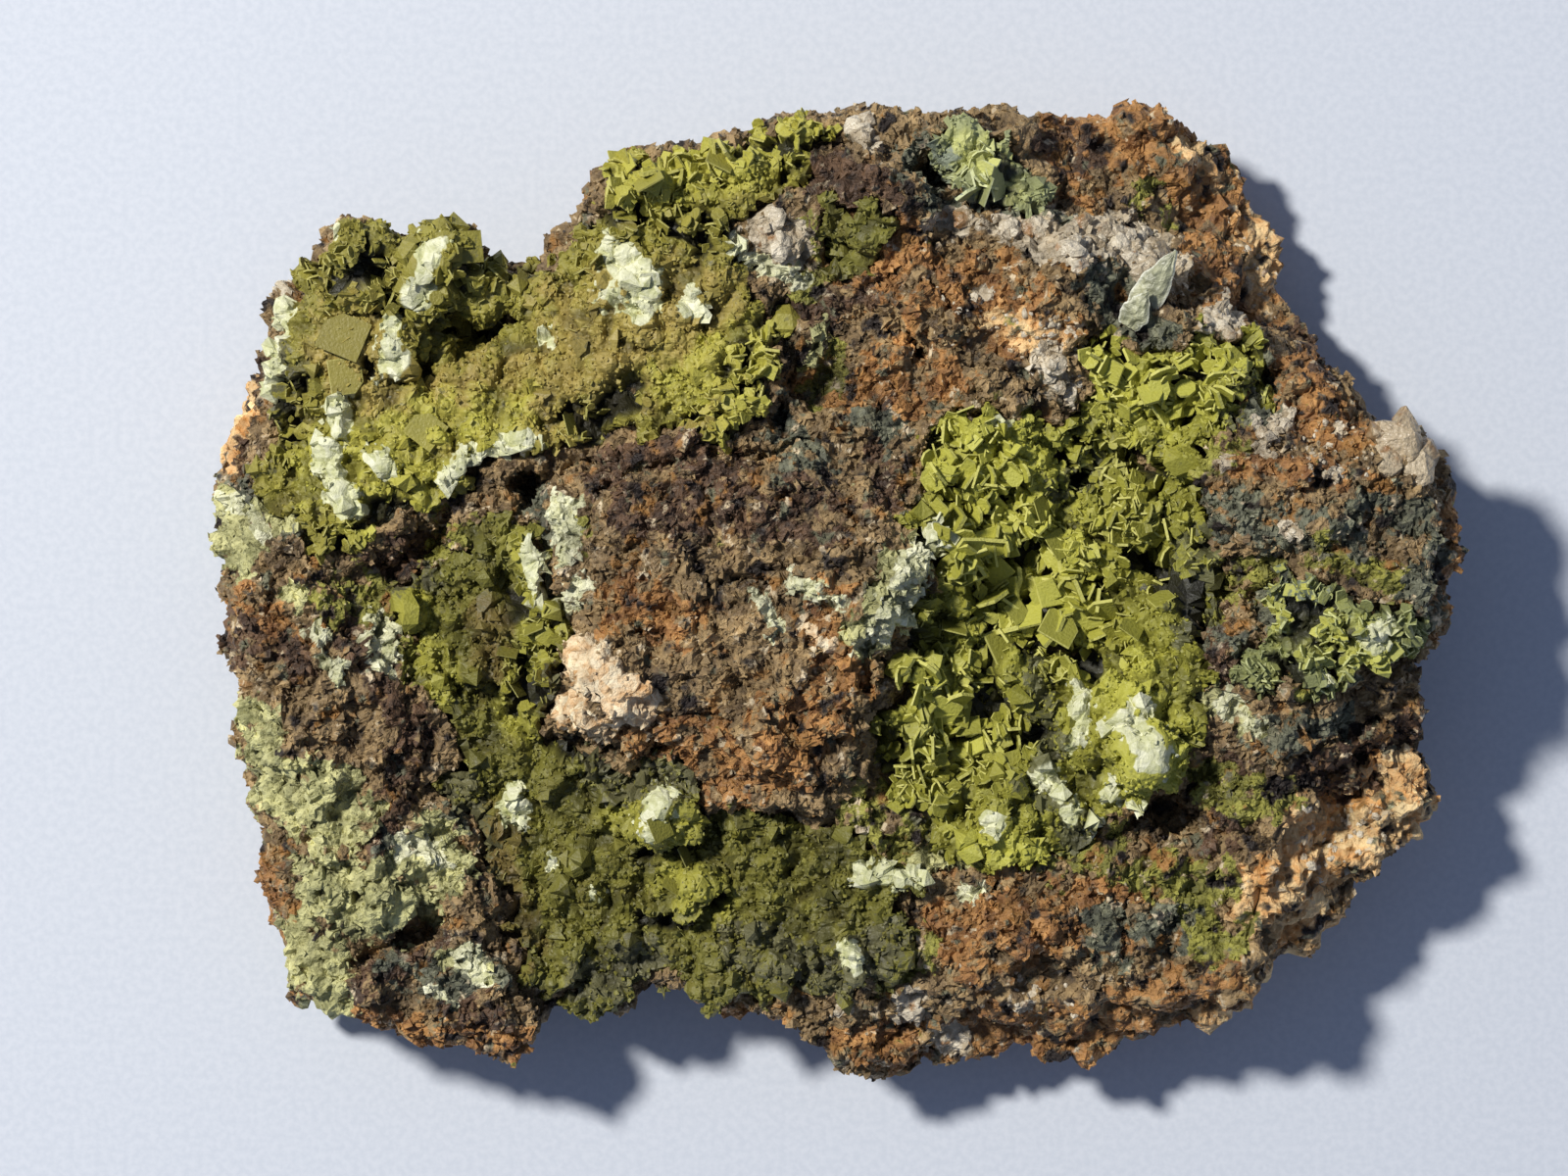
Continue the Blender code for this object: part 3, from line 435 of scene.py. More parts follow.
# Where each crust lies, with ragged edges
rock_places = places_of(rock_mesh)
rock_normals = normals_of(rock_mesh)
cover = cover_of(rock_places, rock_normals)
ragged = 0.5 * rough(rock_places, 3.4 * MM, 33) + 0.3 * rough(rock_places, 1.2 * MM, 34, 2)
for node in CRUST_NODES:
    own = spread_out(rock_mesh, cover[node], 5)
    cover[node] = smoothstep(own * 1.7 + (own > 0.02) * ragged - 0.35)
covered = sum(cover.values())
bare = 1 - smoothstep(covered * 1.2)

# The pits, knobs and crevices
rock_px, rock_py = to_pixels(rock_places)
upward = smoothstep(rock_normals[:, 2] * 1.5 + 0.2)
drop = np.zeros(len(rock_places))
for spot_x, spot_y, radius, rise in DIMPLES:
    drop += rise * MM * smoothstep(1.3 - np.hypot(rock_px - spot_x, rock_py - spot_y) / radius)
wander = rough(rock_places, 2.5 * MM, 41, 2)
for half_width, depth, course in CREVICES:
    away = np.abs(line_distance(rock_px, rock_py, course) + half_width * 0.8 * wander)
    drop -= depth * MM * smoothstep(1.2 - away / half_width)

# The stains, and where they make the rock smooth, flaky or knobbly
stain_and_shadow_values = {}
for order, (stain, strokes) in enumerate(STAINS_AND_SHADOWS.items()):
    most, patches = COAT_STRENGTH if stain in SMOOTH_COATS else STAIN_STRENGTH
    stain_and_shadow_values[stain] = stained(rock_places, strokes, 50 + 2 * order, 12, most, patches)
coated = smoothstep(1.5 * np.max([stain_and_shadow_values[stain] for stain in SMOOTH_COATS], axis=0) - 0.2)
flaky = smoothstep(1.5 * np.maximum(stain_and_shadow_values["lemon"], stain_and_shadow_values["cream"]) - 0.2)
knobbly = stained(rock_places, KNOBBLY_STROKES, 47, 14)

# The relief in mm: blocks of three sizes, with pebbles on the coats and knobs, and pits
large_blocks = blocky(rock_places, LARGE_BLOCK, 3, 0.6)
small_blocks = blocky(rock_places, SMALL_BLOCK, 4)
crags = 0.9 * large_blocks + 0.5 * small_blocks + 0.25 * blocky(rock_places, FINE_BLOCK, 5)
crags *= 1 - 0.6 * np.maximum(coated - 0.7 * flaky, knobbly)
crags += 1.0 * rough(rock_places, ROCK_WAVE, 2)
crags += coated * (1.0 * pebbled(rock_places, 2.4 * MM, 7) + 0.55 * pebbled(rock_places, 1.1 * MM, 8))
crags += knobbly * (1.3 * pebbled(rock_places, 3.4 * MM, 6) + 0.5 * pebbled(rock_places, 1.4 * MM, 9))
pits = pitted(rock_places, 2.6 * MM, 10, 0.35) * (0.35 + 0.65 * coated)
pits = np.maximum(pits, pitted(rock_places, 1.7 * MM, 11, 0.65) * flaky)
crags -= 1.1 * pits

# The relief stays off the flat patch underneath, and inside the box of the CAD block
foot_free = smoothstep((rock_places[:, 2] - FOOT_HEIGHT) / FOOT_RISE)
swell = (crags * (0.3 + 0.7 * bare) - 0.25 * (1 - bare)) * MM * foot_free
rock_places = rock_places + rock_normals * swell[:, None]
rock_places[:, 2] += drop * upward
rock_places = np.clip(rock_places, np.array(cad_box[0]), np.array(cad_box[1]))

# The crusts grow from a copy of this surface. The rock itself is sunk under them
crust_bed = rock_mesh.copy()
move_to(crust_bed, rock_places)
rock_places = rock_places - rock_normals * (BED_DEPTH * smoothstep(covered) * foot_free)[:, None]
move_to(rock_mesh, rock_places)
# Each block's tone, lighter on its top and darker low down as painted light and shade, and painted shade in
# the creases and pits, are kept for the finish.
tone_and_shade = np.clip(0.5 + 0.32 * large_blocks + 0.24 * small_blocks, 0, 1)
crease = smoothstep(-0.25 - 0.5 * crags + 0.9 * pits)
keep_values(rock_mesh, {**stain_and_shadow_values, "tone_and_shade": tone_and_shade, "crease": crease})


def linear(code):
    """A linear colour from its sRGB hex code."""
    channels = [int(code[i:i + 2], 16) / 255 for i in (1, 3, 5)]
    return (*[c / 12.92 if c <= 0.04045 else ((c + 0.055) / 1.055) ** 2.4 for c in channels], 1)


def set_inputs(tree, node, inputs):
    """Give a node its inputs: numbers, hex codes of colours, or the sockets that feed them."""
    for socket, source in inputs.items():
        if isinstance(source, bpy.types.NodeSocket):
            tree.links.new(source, node.inputs[socket])
        else:
            node.inputs[socket].default_value = linear(source) if isinstance(source, str) else source


def add_node(tree, kind, inputs, out=0, **settings):
    """Add a node with its settings and inputs, and give one of its outputs."""
    node = tree.nodes.new(kind)
    for key, value in settings.items():
        setattr(node, key, value)
    set_inputs(tree, node, inputs)
    return node.outputs[out]


def new_finish(name):
    """An empty Principled material, its tree and its shader."""
    material = bpy.data.materials.new(name)
    material.use_nodes = True
    return material, material.node_tree, material.node_tree.nodes["Principled BSDF"]


def layered(tree, tone, *layers):
    """Tones laid over a first one, each with its share from 0 to 1."""
    for share, over in layers:
        tone = add_node(tree, "ShaderNodeMix", {0: share, 6: tone, 7: over}, 2, data_type="RGBA")
    return tone


def patchy(tree, size, low, high, detail=4):
    """Noise with lumps of a size in metres, stretched so that low becomes 0 and high 1."""
    place = add_node(tree, "ShaderNodeTexCoord", {}, "Object")
    lumps = add_node(tree, "ShaderNodeTexNoise", {"Vector": place, "Scale": 1 / size, "Detail": detail})
    return add_node(tree, "ShaderNodeMapRange", {0: lumps, 1: low, 2: high},
                    interpolation_type="SMOOTHSTEP")


def speckled(tree, size, channel):
    """A chance from 0 to 1 for each mineral grain of a size in metres, blurred by finer noise."""
    place = add_node(tree, "ShaderNodeTexCoord", {}, "Object")
    cells = add_node(tree, "ShaderNodeTexVoronoi", {"Vector": place, "Scale": 1 / size}, "Color")
    chance = add_node(tree, "ShaderNodeSeparateColor", {0: cells}, channel)
    return add_node(tree, "ShaderNodeMix", {0: 0.4, 2: chance, 3: patchy(tree, size * 0.5, 0.3, 0.7)})


def stain_layer(tree, under, kept, low, high, size, chance):
    """Lay a two-tone stain over a colour where its kept number and the chance of a grain say so."""
    flecks = add_node(tree, "ShaderNodeMath", {0: chance, 1: 0.7}, operation="MULTIPLY")
    total = add_node(tree, "ShaderNodeMath", {0: kept, 1: flecks}, operation="ADD")
    edge = add_node(tree, "ShaderNodeMapRange", {0: total, 1: 0.78, 2: 0.88},
                    interpolation_type="SMOOTHSTEP")
    return layered(tree, under, (edge, layered(tree, low, (speckled(tree, size, 2), high))))


# Limonite gossan, weathered and broken: dusty and matt, speckled from near black to bright ochre
gossan, tree, shader = new_finish("weathered limonite gossan")
kept = {name: add_node(tree, "ShaderNodeAttribute", {}, "Fac", attribute_name=name)
        for name in [*STAINS_AND_SHADOWS, "tone_and_shade", "crease"]}
first_chance = speckled(tree, 2.3 * MM, 0)
second_chance = speckled(tree, 1.8 * MM, 1)
third_chance = speckled(tree, 2.8 * MM, 2)
ground = layered(tree, "#54432F", (speckled(tree, 1.3 * MM, 2), "#B29668"))
for stain, low, high, size, chance in (
        ("rust", "#6C4626", "#C69356", 1.3 * MM, first_chance),
        ("dark", "#2C1F17", "#795C42", 1.3 * MM, second_chance),
        ("tan", "#C88A44", "#F2D8A2", 2.0 * MM, third_chance),
        ("olive", "#5E5C25", "#A8A44C", 1.0 * MM, first_chance),
        ("slate", "#373A30", "#88886E", 1.3 * MM, third_chance)):
    ground = stain_layer(tree, ground, kept[stain], low, high, size, chance)
ground = layered(tree, ground,
                 (patchy(tree, 2.4 * MM, 0.58, 0.68), "#966C38"),
                 (patchy(tree, 1.3 * MM, 0.6, 0.68), "#CDBB9A"),
                 (patchy(tree, 2.6 * MM, 0.57, 0.66), "#241B16"),
                 (patchy(tree, 1.9 * MM, 0.62, 0.7), "#6E6C54"))
for stain, low, high, size, chance in (
        ("peach", "#C99C66", "#F6EAC8", 1.3 * MM, second_chance),
        ("lemon", "#6E6E44", "#DAD698", 1.5 * MM, first_chance),
        ("quartz", "#9C8A6C", "#DDD1B8", 1.4 * MM, second_chance),
        ("cream", "#A9A97A", "#F0EECD", 1.2 * MM, first_chance)):
    ground = stain_layer(tree, ground, kept[stain], low, high, size, chance)
# Painted shade: the creases and pits darkened towards near black.
crease_shade = add_node(tree, "ShaderNodeMath", {0: kept["crease"], 1: 0.6}, operation="MULTIPLY")
ground = layered(tree, ground, (crease_shade, "#1A140F"))
# Each block's tone with painted light and shade: brighter on the tops of the blocks, darker low down.
shade = add_node(tree, "ShaderNodeMapRange", {0: kept["tone_and_shade"], 3: 0.7, 4: 1.4})
ground = add_node(tree, "ShaderNodeVectorMath", {0: ground, 1: shade}, operation="MULTIPLY")
dull = add_node(tree, "ShaderNodeMapRange", {0: second_chance, 3: 0.85, 4: 0.42})
grit = add_node(tree, "ShaderNodeBump", {"Strength": 0.8, "Distance": 0.2 * MM,
                                         "Height": patchy(tree, 0.35 * MM, 0.2, 0.8, 6)})
set_inputs(tree, shader, {"Base Color": ground, "Roughness": dull, "Normal": grit})

rock = new_piece("gossan_block", rock_mesh, gossan)
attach(rock, "root")
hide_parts("matrix")

# The grain of the broken surface
# The rock crumbles into angular bits of limonite and quartz, mostly half a millimetre to a millimetre
# across. They are still fast to it, in its own colours.

GOLDEN_TURN = math.pi * (3 - math.sqrt(5))
GRAIN_SPACING = 0.5 * MM
GRAIN_FOOT = 2 * MM
GRAIN_SHAPE = np.array([1.25, 0.95, 0.75])


def form_of(shape):
    """The points and faces of a bmesh, which is then freed."""
    shape.verts.index_update()
    form = (np.array([vert.co for vert in shape.verts]),
            [[vert.index for vert in face.verts] for face in shape.faces])
    shape.free()
    return form


def grain_form(seed, corners):
    """The points and faces of one angular grain about 1 across, its corners spread evenly."""
    dice = np.random.default_rng(seed)
    shape = bmesh.new()
    for corner in range(corners):
        height = 1 - (2 * corner + 1) / corners
        ring, turn = math.sqrt(1 - height * height), GOLDEN_TURN * corner
        way = np.array([ring * math.cos(turn), ring * math.sin(turn), height]) + dice.normal(0, 0.25, 3)
        shape.verts.new(way / np.linalg.norm(way) * dice.uniform(0.42, 0.56))
    hull = bmesh.ops.convex_hull(shape, input=shape.verts)
    loose = dict.fromkeys(hull["geom_interior"] + hull["geom_unused"])
    loose = [item for item in loose if isinstance(item, bmesh.types.BMVert)]
    bmesh.ops.delete(shape, geom=loose, context="VERTS")
    bmesh.ops.recalc_face_normals(shape, faces=shape.faces)
    return form_of(shape)


def sow(mesh, per_mm2, spacing, seed):
    """Random spots on a mesh: their places, normals, triangles and shares of the corners."""
    dice = np.random.default_rng(seed)
    mesh.calc_loop_triangles()
    corners = np.empty(len(mesh.loop_triangles) * 3, np.int32)
    mesh.loop_triangles.foreach_get("vertices", corners)
    corners = corners.reshape(-1, 3)
    places = places_of(mesh)[corners]
    cross = np.cross(places[:, 1] - places[:, 0], places[:, 2] - places[:, 0])
    weight = np.linalg.norm(cross, axis=1) / 2 / MM ** 2 * per_mm2[corners].mean(axis=1)
    count = int(weight.sum())
    chosen = dice.choice(len(corners), count, p=weight / weight.sum())
    share = dice.dirichlet((1, 1, 1), count)
    spots = np.einsum("nk,nkj->nj", share, places[chosen])
    cells = np.floor(spots / spacing).astype(int)
    _, kept = np.unique(cells, axis=0, return_index=True)
    kept.sort()
    normals = np.einsum("nk,nkj->nj", share[kept], normals_of(mesh)[corners][chosen[kept]])
    normals /= np.linalg.norm(normals, axis=1, keepdims=True) + 1e-9
    return spots[kept], normals, corners[chosen[kept]], share[kept]


def values_of(mesh, name):
    """The numbers that a mesh keeps under a name."""
    values = np.empty(len(mesh.vertices), np.float32)
    mesh.attributes[name].data.foreach_get("value", values)
    return values


def read_at(mesh, name, corners, share):
    """The kept values of a mesh at sown spots."""
    return (values_of(mesh, name)[corners] * share).sum(axis=1)


def turned_by(first, second, angles):
    """Two directions at right angles, turned in their plane, the first towards the second."""
    cos, sin = np.cos(angles)[:, None], np.sin(angles)[:, None]
    return first * cos + second * sin, second * cos - first * sin


def turned(normals, headings, tilts, spins):
    """For each spot a frame whose Z leans from the normal by a tilt, turned in its own plane."""
    helper = np.where(np.abs(normals[:, 2:3]) < 0.9, [[0, 0, 1.0]], [[1.0, 0, 0]])
    side = np.cross(helper, normals)
    side /= np.linalg.norm(side, axis=1, keepdims=True)
    side, front = turned_by(side, np.cross(normals, side), headings)
    up, front = turned_by(normals, front, tilts)
    side, front = turned_by(side, front, spins)
    return np.stack([side, front, up], axis=2)


def scattered(name, forms, choice, frames, places, sizes, kept, rimmed=0):
    """One mesh of many copies of a few forms. The upright side faces of the first few forms are kept as rim,
    for a painted highlight.
    """
    points, faces, owners, rims, offset = [], [], [], [], 0
    for kind, (form, polygons) in enumerate(forms):
        mine = np.flatnonzero(choice == kind)
        moved = np.einsum("nij,nj,pj->npi", frames[mine], sizes[mine], form)
        points.append((moved + places[mine, None, :]).reshape(-1, 3))
        start = offset + np.arange(len(mine)) * len(form)
        for polygon in polygons:
            faces.extend((start[:, None] + np.array(polygon)[None, :]).tolist())
            upright = kind < rimmed and np.ptp(form[polygon, 2]) > 0.01
            rims.append(np.full(len(mine), float(upright)))
        owners.append(np.repeat(mine, len(form)))
        offset += len(mine) * len(form)
    mesh = bpy.data.meshes.new(name)
    mesh.from_pydata(np.concatenate(points).tolist(), [], faces)
    owners = np.concatenate(owners)
    keep_values(mesh, {key: values[owners] for key, values in kept.items()})
    if rimmed:
        mesh.attributes.new("rim", "FLOAT", "FACE")
        mesh.attributes["rim"].data.foreach_set("value", np.concatenate(rims).astype(np.float32))
    return mesh


GRAIN_FORMS = [grain_form(seed, 6) for seed in range(10)]
dice = np.random.default_rng(5)
crumbly = (bare > 0.25) * (0.3 + 2.6 * upward) * (rock_places[:, 2] > GRAIN_FOOT)
crumbly *= (1 - 0.7 * knobbly) * (1 - 0.88 * coated + 0.3 * flaky) * (1 - 0.8 * pits)
spots, normals, corners, share = sow(rock_mesh, crumbly, GRAIN_SPACING, 7)
count = len(spots)
sizes = (0.45 + 1.4 * dice.beta(1.0, 4.5, count)) * MM
sizes = sizes[:, None] * dice.uniform(0.7, 1.3, (count, 3)) * GRAIN_SHAPE
frames = turned(normals, dice.uniform(0, math.tau, count), dice.uniform(0, 3, count),
                dice.uniform(0, math.tau, count))
# The grains take the rock's stains, its tone with painted light and shade, and a little less of its painted
# crease shade.
kept = {name: read_at(rock_mesh, name, corners, share) for name in [*STAINS_AND_SHADOWS, "tone_and_shade", "crease"]}
kept["tone_and_shade"] = np.clip(kept["tone_and_shade"] + dice.uniform(-0.3, 0.3, count), 0, 1)
kept["crease"] *= 0.6
grain_mesh = scattered("grains", GRAIN_FORMS, dice.integers(0, len(GRAIN_FORMS), count), frames,
                       spots + normals * sizes.mean(axis=1)[:, None] * 0.04, sizes, kept)
grains = new_piece("gossan_grains", grain_mesh, gossan)
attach(grains, "root")

# The wulfenite crusts
# Each is a druse of thin tablets, lead molybdate, grown together over the rock: a lumpy skin with
# thousands of square and eight-sided plates, most of them on edge. Dust and weathering dull them.

# The skin: its height over the rock, its own thickness, the longest edges of its mesh and its lumps
SKIN_HEIGHT = 1.3 * MM
SKIN_THICKNESS = 0.8 * MM
SKIN_EDGES = [0.52 * MM, 0.29 * MM]
LARGE_LUMP = 2.9 * MM
MEDIUM_LUMP = 1.25 * MM
SMALL_LUMP = 0.6 * MM
CAP_LUMP = 1.7 * MM

# The clumps of plates and the dark lanes between them
CLUMP_SIZE = 3.3 * MM
LANE_HALF_WIDTH = 0.36 * MM
LANE_WAVE = 1.5 * MM
LANE_SHIFT = 0.5 * MM

# The cell that holds one plate or crumb, and a height from which the crusts are looked down on
PLATE_SPACING = 0.26 * MM
LOOKOUT = 100 * MM

# Where the wulfenite is pale, mustard, bright or grey, and where it stands in plates, as strokes of the
# photograph's pixels: half width and course
PALE_STROKES = [
    (20, [(630, 262), (652, 285), (662, 310)]), (14, [(622, 300), (640, 310)]), (14, [(702, 316)]),
    (20, [(758, 250), (790, 275), (815, 292)]), (13, [(452, 255), (430, 300)]),
    (11, [(408, 338), (404, 378)]), (12, [(338, 240)]), (14, [(288, 308), (275, 345), (272, 398)]),
    (15, [(350, 422), (342, 480), (358, 520)]), (13, [(388, 465), (400, 480)]),
    (14, [(458, 488), (495, 468), (545, 452)]), (7, [(560, 345)]), (14, [(525, 815), (530, 828)]),
    (6, [(567, 878)]), (9, [(606, 912)]), (13, [(675, 812), (668, 838)]),
    (13, [(548, 560), (562, 610)]), (22, [(1150, 735), (1165, 768)]), (11, [(1062, 792), (1092, 830)]),
    (9, [(1132, 806), (1160, 832)]), (11, [(1115, 845)]),
    (12, [(1012, 835)]), (11, [(1100, 700), (1095, 755)]), (10, [(1020, 432)]),
    (13, [(880, 885), (930, 892)]), (12, [(868, 970)]), (20, [(945, 560), (925, 590)]),
    (9, [(1188, 765)]), (12, [(1385, 655), (1400, 640)]), (10, [(1345, 690)]),
]
MUSTARD_STROKES = [
    (60, [(600, 350), (700, 330), (720, 390)]), (50, [(470, 420), (560, 400)]),
    (45, [(360, 360), (400, 420)]), (26, [(500, 640), (510, 680)]), (30, [(500, 850), (520, 960)]),
]
BRIGHT_STROKES = [
    (36, [(640, 195), (760, 165), (840, 130)]), (34, [(330, 480), (440, 440), (520, 430)]),
    (36, [(700, 400), (780, 360)]), (40, [(760, 430), (790, 400)]), (36, [(380, 520), (430, 500)]),
    (26, [(548, 560), (556, 640), (530, 720)]), (26, [(690, 900), (720, 920)]),
    (24, [(640, 830), (700, 840)]), (70, [(1010, 470), (1060, 600)]), (50, [(1120, 380), (1240, 400)]),
    (44, [(1150, 700), (1170, 790)]), (40, [(960, 690), (980, 740)]), (22, [(1000, 860), (1060, 880)]),
    (32, [(1290, 600), (1345, 645), (1400, 675)]), (22, [(990, 160), (1020, 190)]),
    (20, [(420, 620), (450, 700)]),
]
GREY_STROKES = [
    (22, [(560, 700), (640, 800), (700, 790)]), (30, [(760, 960), (840, 1000), (900, 960)]),
    (26, [(600, 1000), (660, 980)]), (20, [(470, 800), (490, 880)]), (24, [(1060, 790), (1100, 850)]),
    (24, [(1220, 560), (1210, 640)]), (20, [(1290, 590), (1320, 610)]), (22, [(960, 210), (1000, 215)]),
    (16, [(1270, 390), (1250, 430)]), (20, [(940, 150), (950, 190)]), (16, [(380, 600), (440, 590)]),
    (20, [(280, 360), (275, 420)]), (18, [(1080, 500), (1110, 480)]), (18, [(1050, 690), (1070, 760)]),
]
PLATY_STROKES = [
    (30, [(330, 262), (400, 300), (490, 280)]), (32, [(606, 205), (700, 175), (830, 135)]),
    (24, [(640, 225), (740, 250)]), (18, [(585, 430), (640, 412)]), (30, [(735, 432), (800, 350)]),
    (22, [(430, 530), (330, 545)]), (16, [(560, 465), (600, 455)]), (14, [(610, 270), (590, 250)]),
    (16, [(300, 400), (290, 460)]), (24, [(535, 560), (560, 640), (535, 710)]),
    (60, [(980, 470), (1040, 600), (1080, 620)]), (46, [(1130, 380), (1240, 390)]),
    (50, [(950, 690), (1000, 740), (930, 790)]), (40, [(1130, 480), (1180, 560)]),
    (26, [(1010, 170), (990, 200)]), (28, [(1290, 610), (1420, 640)]), (22, [(1280, 690), (1400, 680)]),
]

# Where the plates are the largest, in the same form
BOLD_STROKES = [
    (34, [(975, 565), (1040, 600), (1100, 630)]), (28, [(940, 705), (990, 735)]),
    (20, [(1175, 390), (1195, 415)]), (14, [(1005, 175), (1000, 195)]), (16, [(745, 160), (640, 190)]),
]

# Where the crusts part in gaps, sunk and painted black as shade, or stand over a hollow, in the same form
GAP_STROKES = [
    (7, [(455, 335), (490, 345), (524, 331)]), (6, [(530, 482), (547, 516)]), (5, [(440, 528), (440, 548)]),
    (6, [(754, 402), (793, 386)]), (5, [(379, 372), (381, 384)]), (5, [(782, 300), (784, 310)]),
    (6, [(955, 540), (965, 554)]), (8, [(1149, 566), (1170, 580), (1191, 587)]),
    (7, [(1082, 468), (1107, 484)]), (11, [(1200, 595), (1225, 640), (1235, 671)]),
    (7, [(566, 754), (604, 767), (640, 771), (676, 760)]),
    (8, [(1048, 658), (1115, 675)]), (6, [(993, 709), (1002, 735)]), (7, [(905, 665), (956, 660)]),
    (6, [(655, 868), (690, 862), (716, 842)]), (6, [(655, 935), (700, 940), (738, 912)]),
]

# Each mask: its strokes, a seed, the raggedness of its edges in pixels, and how strong it and its patches
# are, where it has any
CRUST_MASKS = {
    "pale": (PALE_STROKES, 90, 13), "mustard": (MUSTARD_STROKES, 94, 12, 0.85, 0.3),
    "bright": (BRIGHT_STROKES, 96, 10, 0.9, 0.3), "grey": (GREY_STROKES, 98, 10, 0.9, 0.35),
    "platy": (PLATY_STROKES, 99, 10), "bold": (BOLD_STROKES, 101, 8), "gap": (GAP_STROKES, 105, 6),
}
COLOUR_MASKS = ["pale", "mustard", "bright", "grey"]


def masks_at(places, names):
    """The named masks of the crusts at places, each up to 1 where it lies."""
    return {name: stained(places, *CRUST_MASKS[name]) for name in names}


def lanes(places, size, seed, half_width):
    """Up to 1 in the lanes between clumps of a size, with lanes of a half width, all in metres."""
    wide = 2 * half_width / size
    depth = [1.35 - (far[1] - far[0]) / wide
             for _, far, _ in cells_of(places, size, seed, (5.3, 1.7, 3.9))]
    return smoothstep(np.array(depth))


def seen_from_above(tree, px, py):
    """The spot and the normal of a surface at a place in the photograph."""
    return tree.ray_cast(Vector((*from_pixels(px, py), LOOKOUT)), Vector((0, 0, -1)))[:2]


def tablet(sides, width, thickness, rim=0, cut_corners=()):
    """The points and faces of one flat crystal 1 across, its rim bevelled and corners cut if asked."""
    shape = bmesh.new()
    bmesh.ops.create_cone(shape, cap_ends=True, segments=sides, radius1=width / 2,
                          radius2=width / 2, depth=thickness)
    bmesh.ops.rotate(shape, verts=shape.verts, cent=(0, 0, 0),
                     matrix=Matrix.Rotation(math.pi / sides, 3, "Z"))
    upright = [edge for edge in shape.edges if abs(edge.verts[0].co.z - edge.verts[1].co.z) > 1e-6]
    for corner, cut in cut_corners:
        bmesh.ops.bevel(shape, geom=[upright[corner]], offset=cut, segments=1, affect="EDGES",
                        profile=0.5, material=-1)
    if rim:
        flat = [edge for edge in shape.edges if abs(edge.verts[0].co.z - edge.verts[1].co.z) < 1e-6]
        bmesh.ops.bevel(shape, geom=flat, offset=rim, segments=1, affect="EDGES", profile=0.5,
                        material=-1)
    return form_of(shape)


TABLETS = [tablet(4, 1.3, 0.12), tablet(4, 1.3, 0.15, 0, [(0, 0.3)]),
           tablet(4, 1.3, 0.12, 0, [(0, 0.22), (2, 0.36)]), tablet(8, 1.05, 0.13),
           tablet(4, 1.3, 0.16, 0.03, [(1, 0.26)])]
SMALL_TABLETS, SMALL_CHANCES = [0, 1, 2, 3], [0.3, 0.25, 0.2, 0.25]
LARGE_TABLETS, LARGE_SHAPE = [0, 1, 4], np.array([1.0, 0.92, 0.34])
CRUMBS = [grain_form(seed, 8) for seed in range(20, 26)]


def wulfenite_finish(name, dark, light, mustard, bright, grey, rim_highlight):
    """A finish for a crust: matt, dusty plates in the tones that the photograph shows."""
    material, tree, shader = new_finish(name)
    kept = {key: add_node(tree, "ShaderNodeAttribute", {}, "Fac", attribute_name=key)
            for key in ("tone_and_shade", "mustard", "bright", "rim", "grey", "crease", "pale")}
    tone_and_shade = kept["tone_and_shade"]
    # Painted highlight on the upright side faces of the plates.
    rim = add_node(tree, "ShaderNodeMath", {0: kept["rim"], 1: 0.6}, operation="MULTIPLY")
    grime = add_node(tree, "ShaderNodeMath", {0: kept["grey"], 1: speckled(tree, 0.7 * MM, 0)},
                     operation="ADD")
    grime = add_node(tree, "ShaderNodeMapRange", {0: grime, 1: 0.85, 2: 1.15})
    # Painted shade, near black, for the gaps and the low parts of the skin.
    shade_in_hollows = layered(tree, "#1C1C13", (patchy(tree, 2 * MM, 0.4, 0.6), "#0E0B07"))
    caps = add_node(tree, "ShaderNodeMapRange", {0: kept["pale"], 1: 0.35, 2: 0.55},
                    interpolation_type="SMOOTHSTEP")
    cap_tone = layered(tree, "#B2B47A", (speckled(tree, 1.3 * MM, 1), "#E8E7C9"))
    # On the skin the dark and light tones follow the lumps, lighter on their tops as painted light and
    # darker between as painted shade; on the plates the mix is each plate's own tone.
    tone = layered(tree, dark,
                   (tone_and_shade, light),
                   (patchy(tree, 3.2 * MM, 0.42, 0.62), layered(tree, light, (tone_and_shade, dark))),
                   (kept["mustard"], mustard),
                   (kept["bright"], layered(tree, light, (tone_and_shade, bright))),
                   (rim, rim_highlight),
                   (grime, grey),
                   (kept["crease"], shade_in_hollows),
                   (caps, cap_tone))
    dull = add_node(tree, "ShaderNodeMapRange", {0: patchy(tree, 0.5 * MM, 0.4, 0.7), 3: 0.5, 4: 0.75})
    dust = add_node(tree, "ShaderNodeBump", {"Strength": 0.6, "Distance": 0.08 * MM,
                                             "Height": patchy(tree, 0.25 * MM, 0.2, 0.8)})
    set_inputs(tree, shader, {"Base Color": tone, "Roughness": dull, "Normal": dust})
    return material


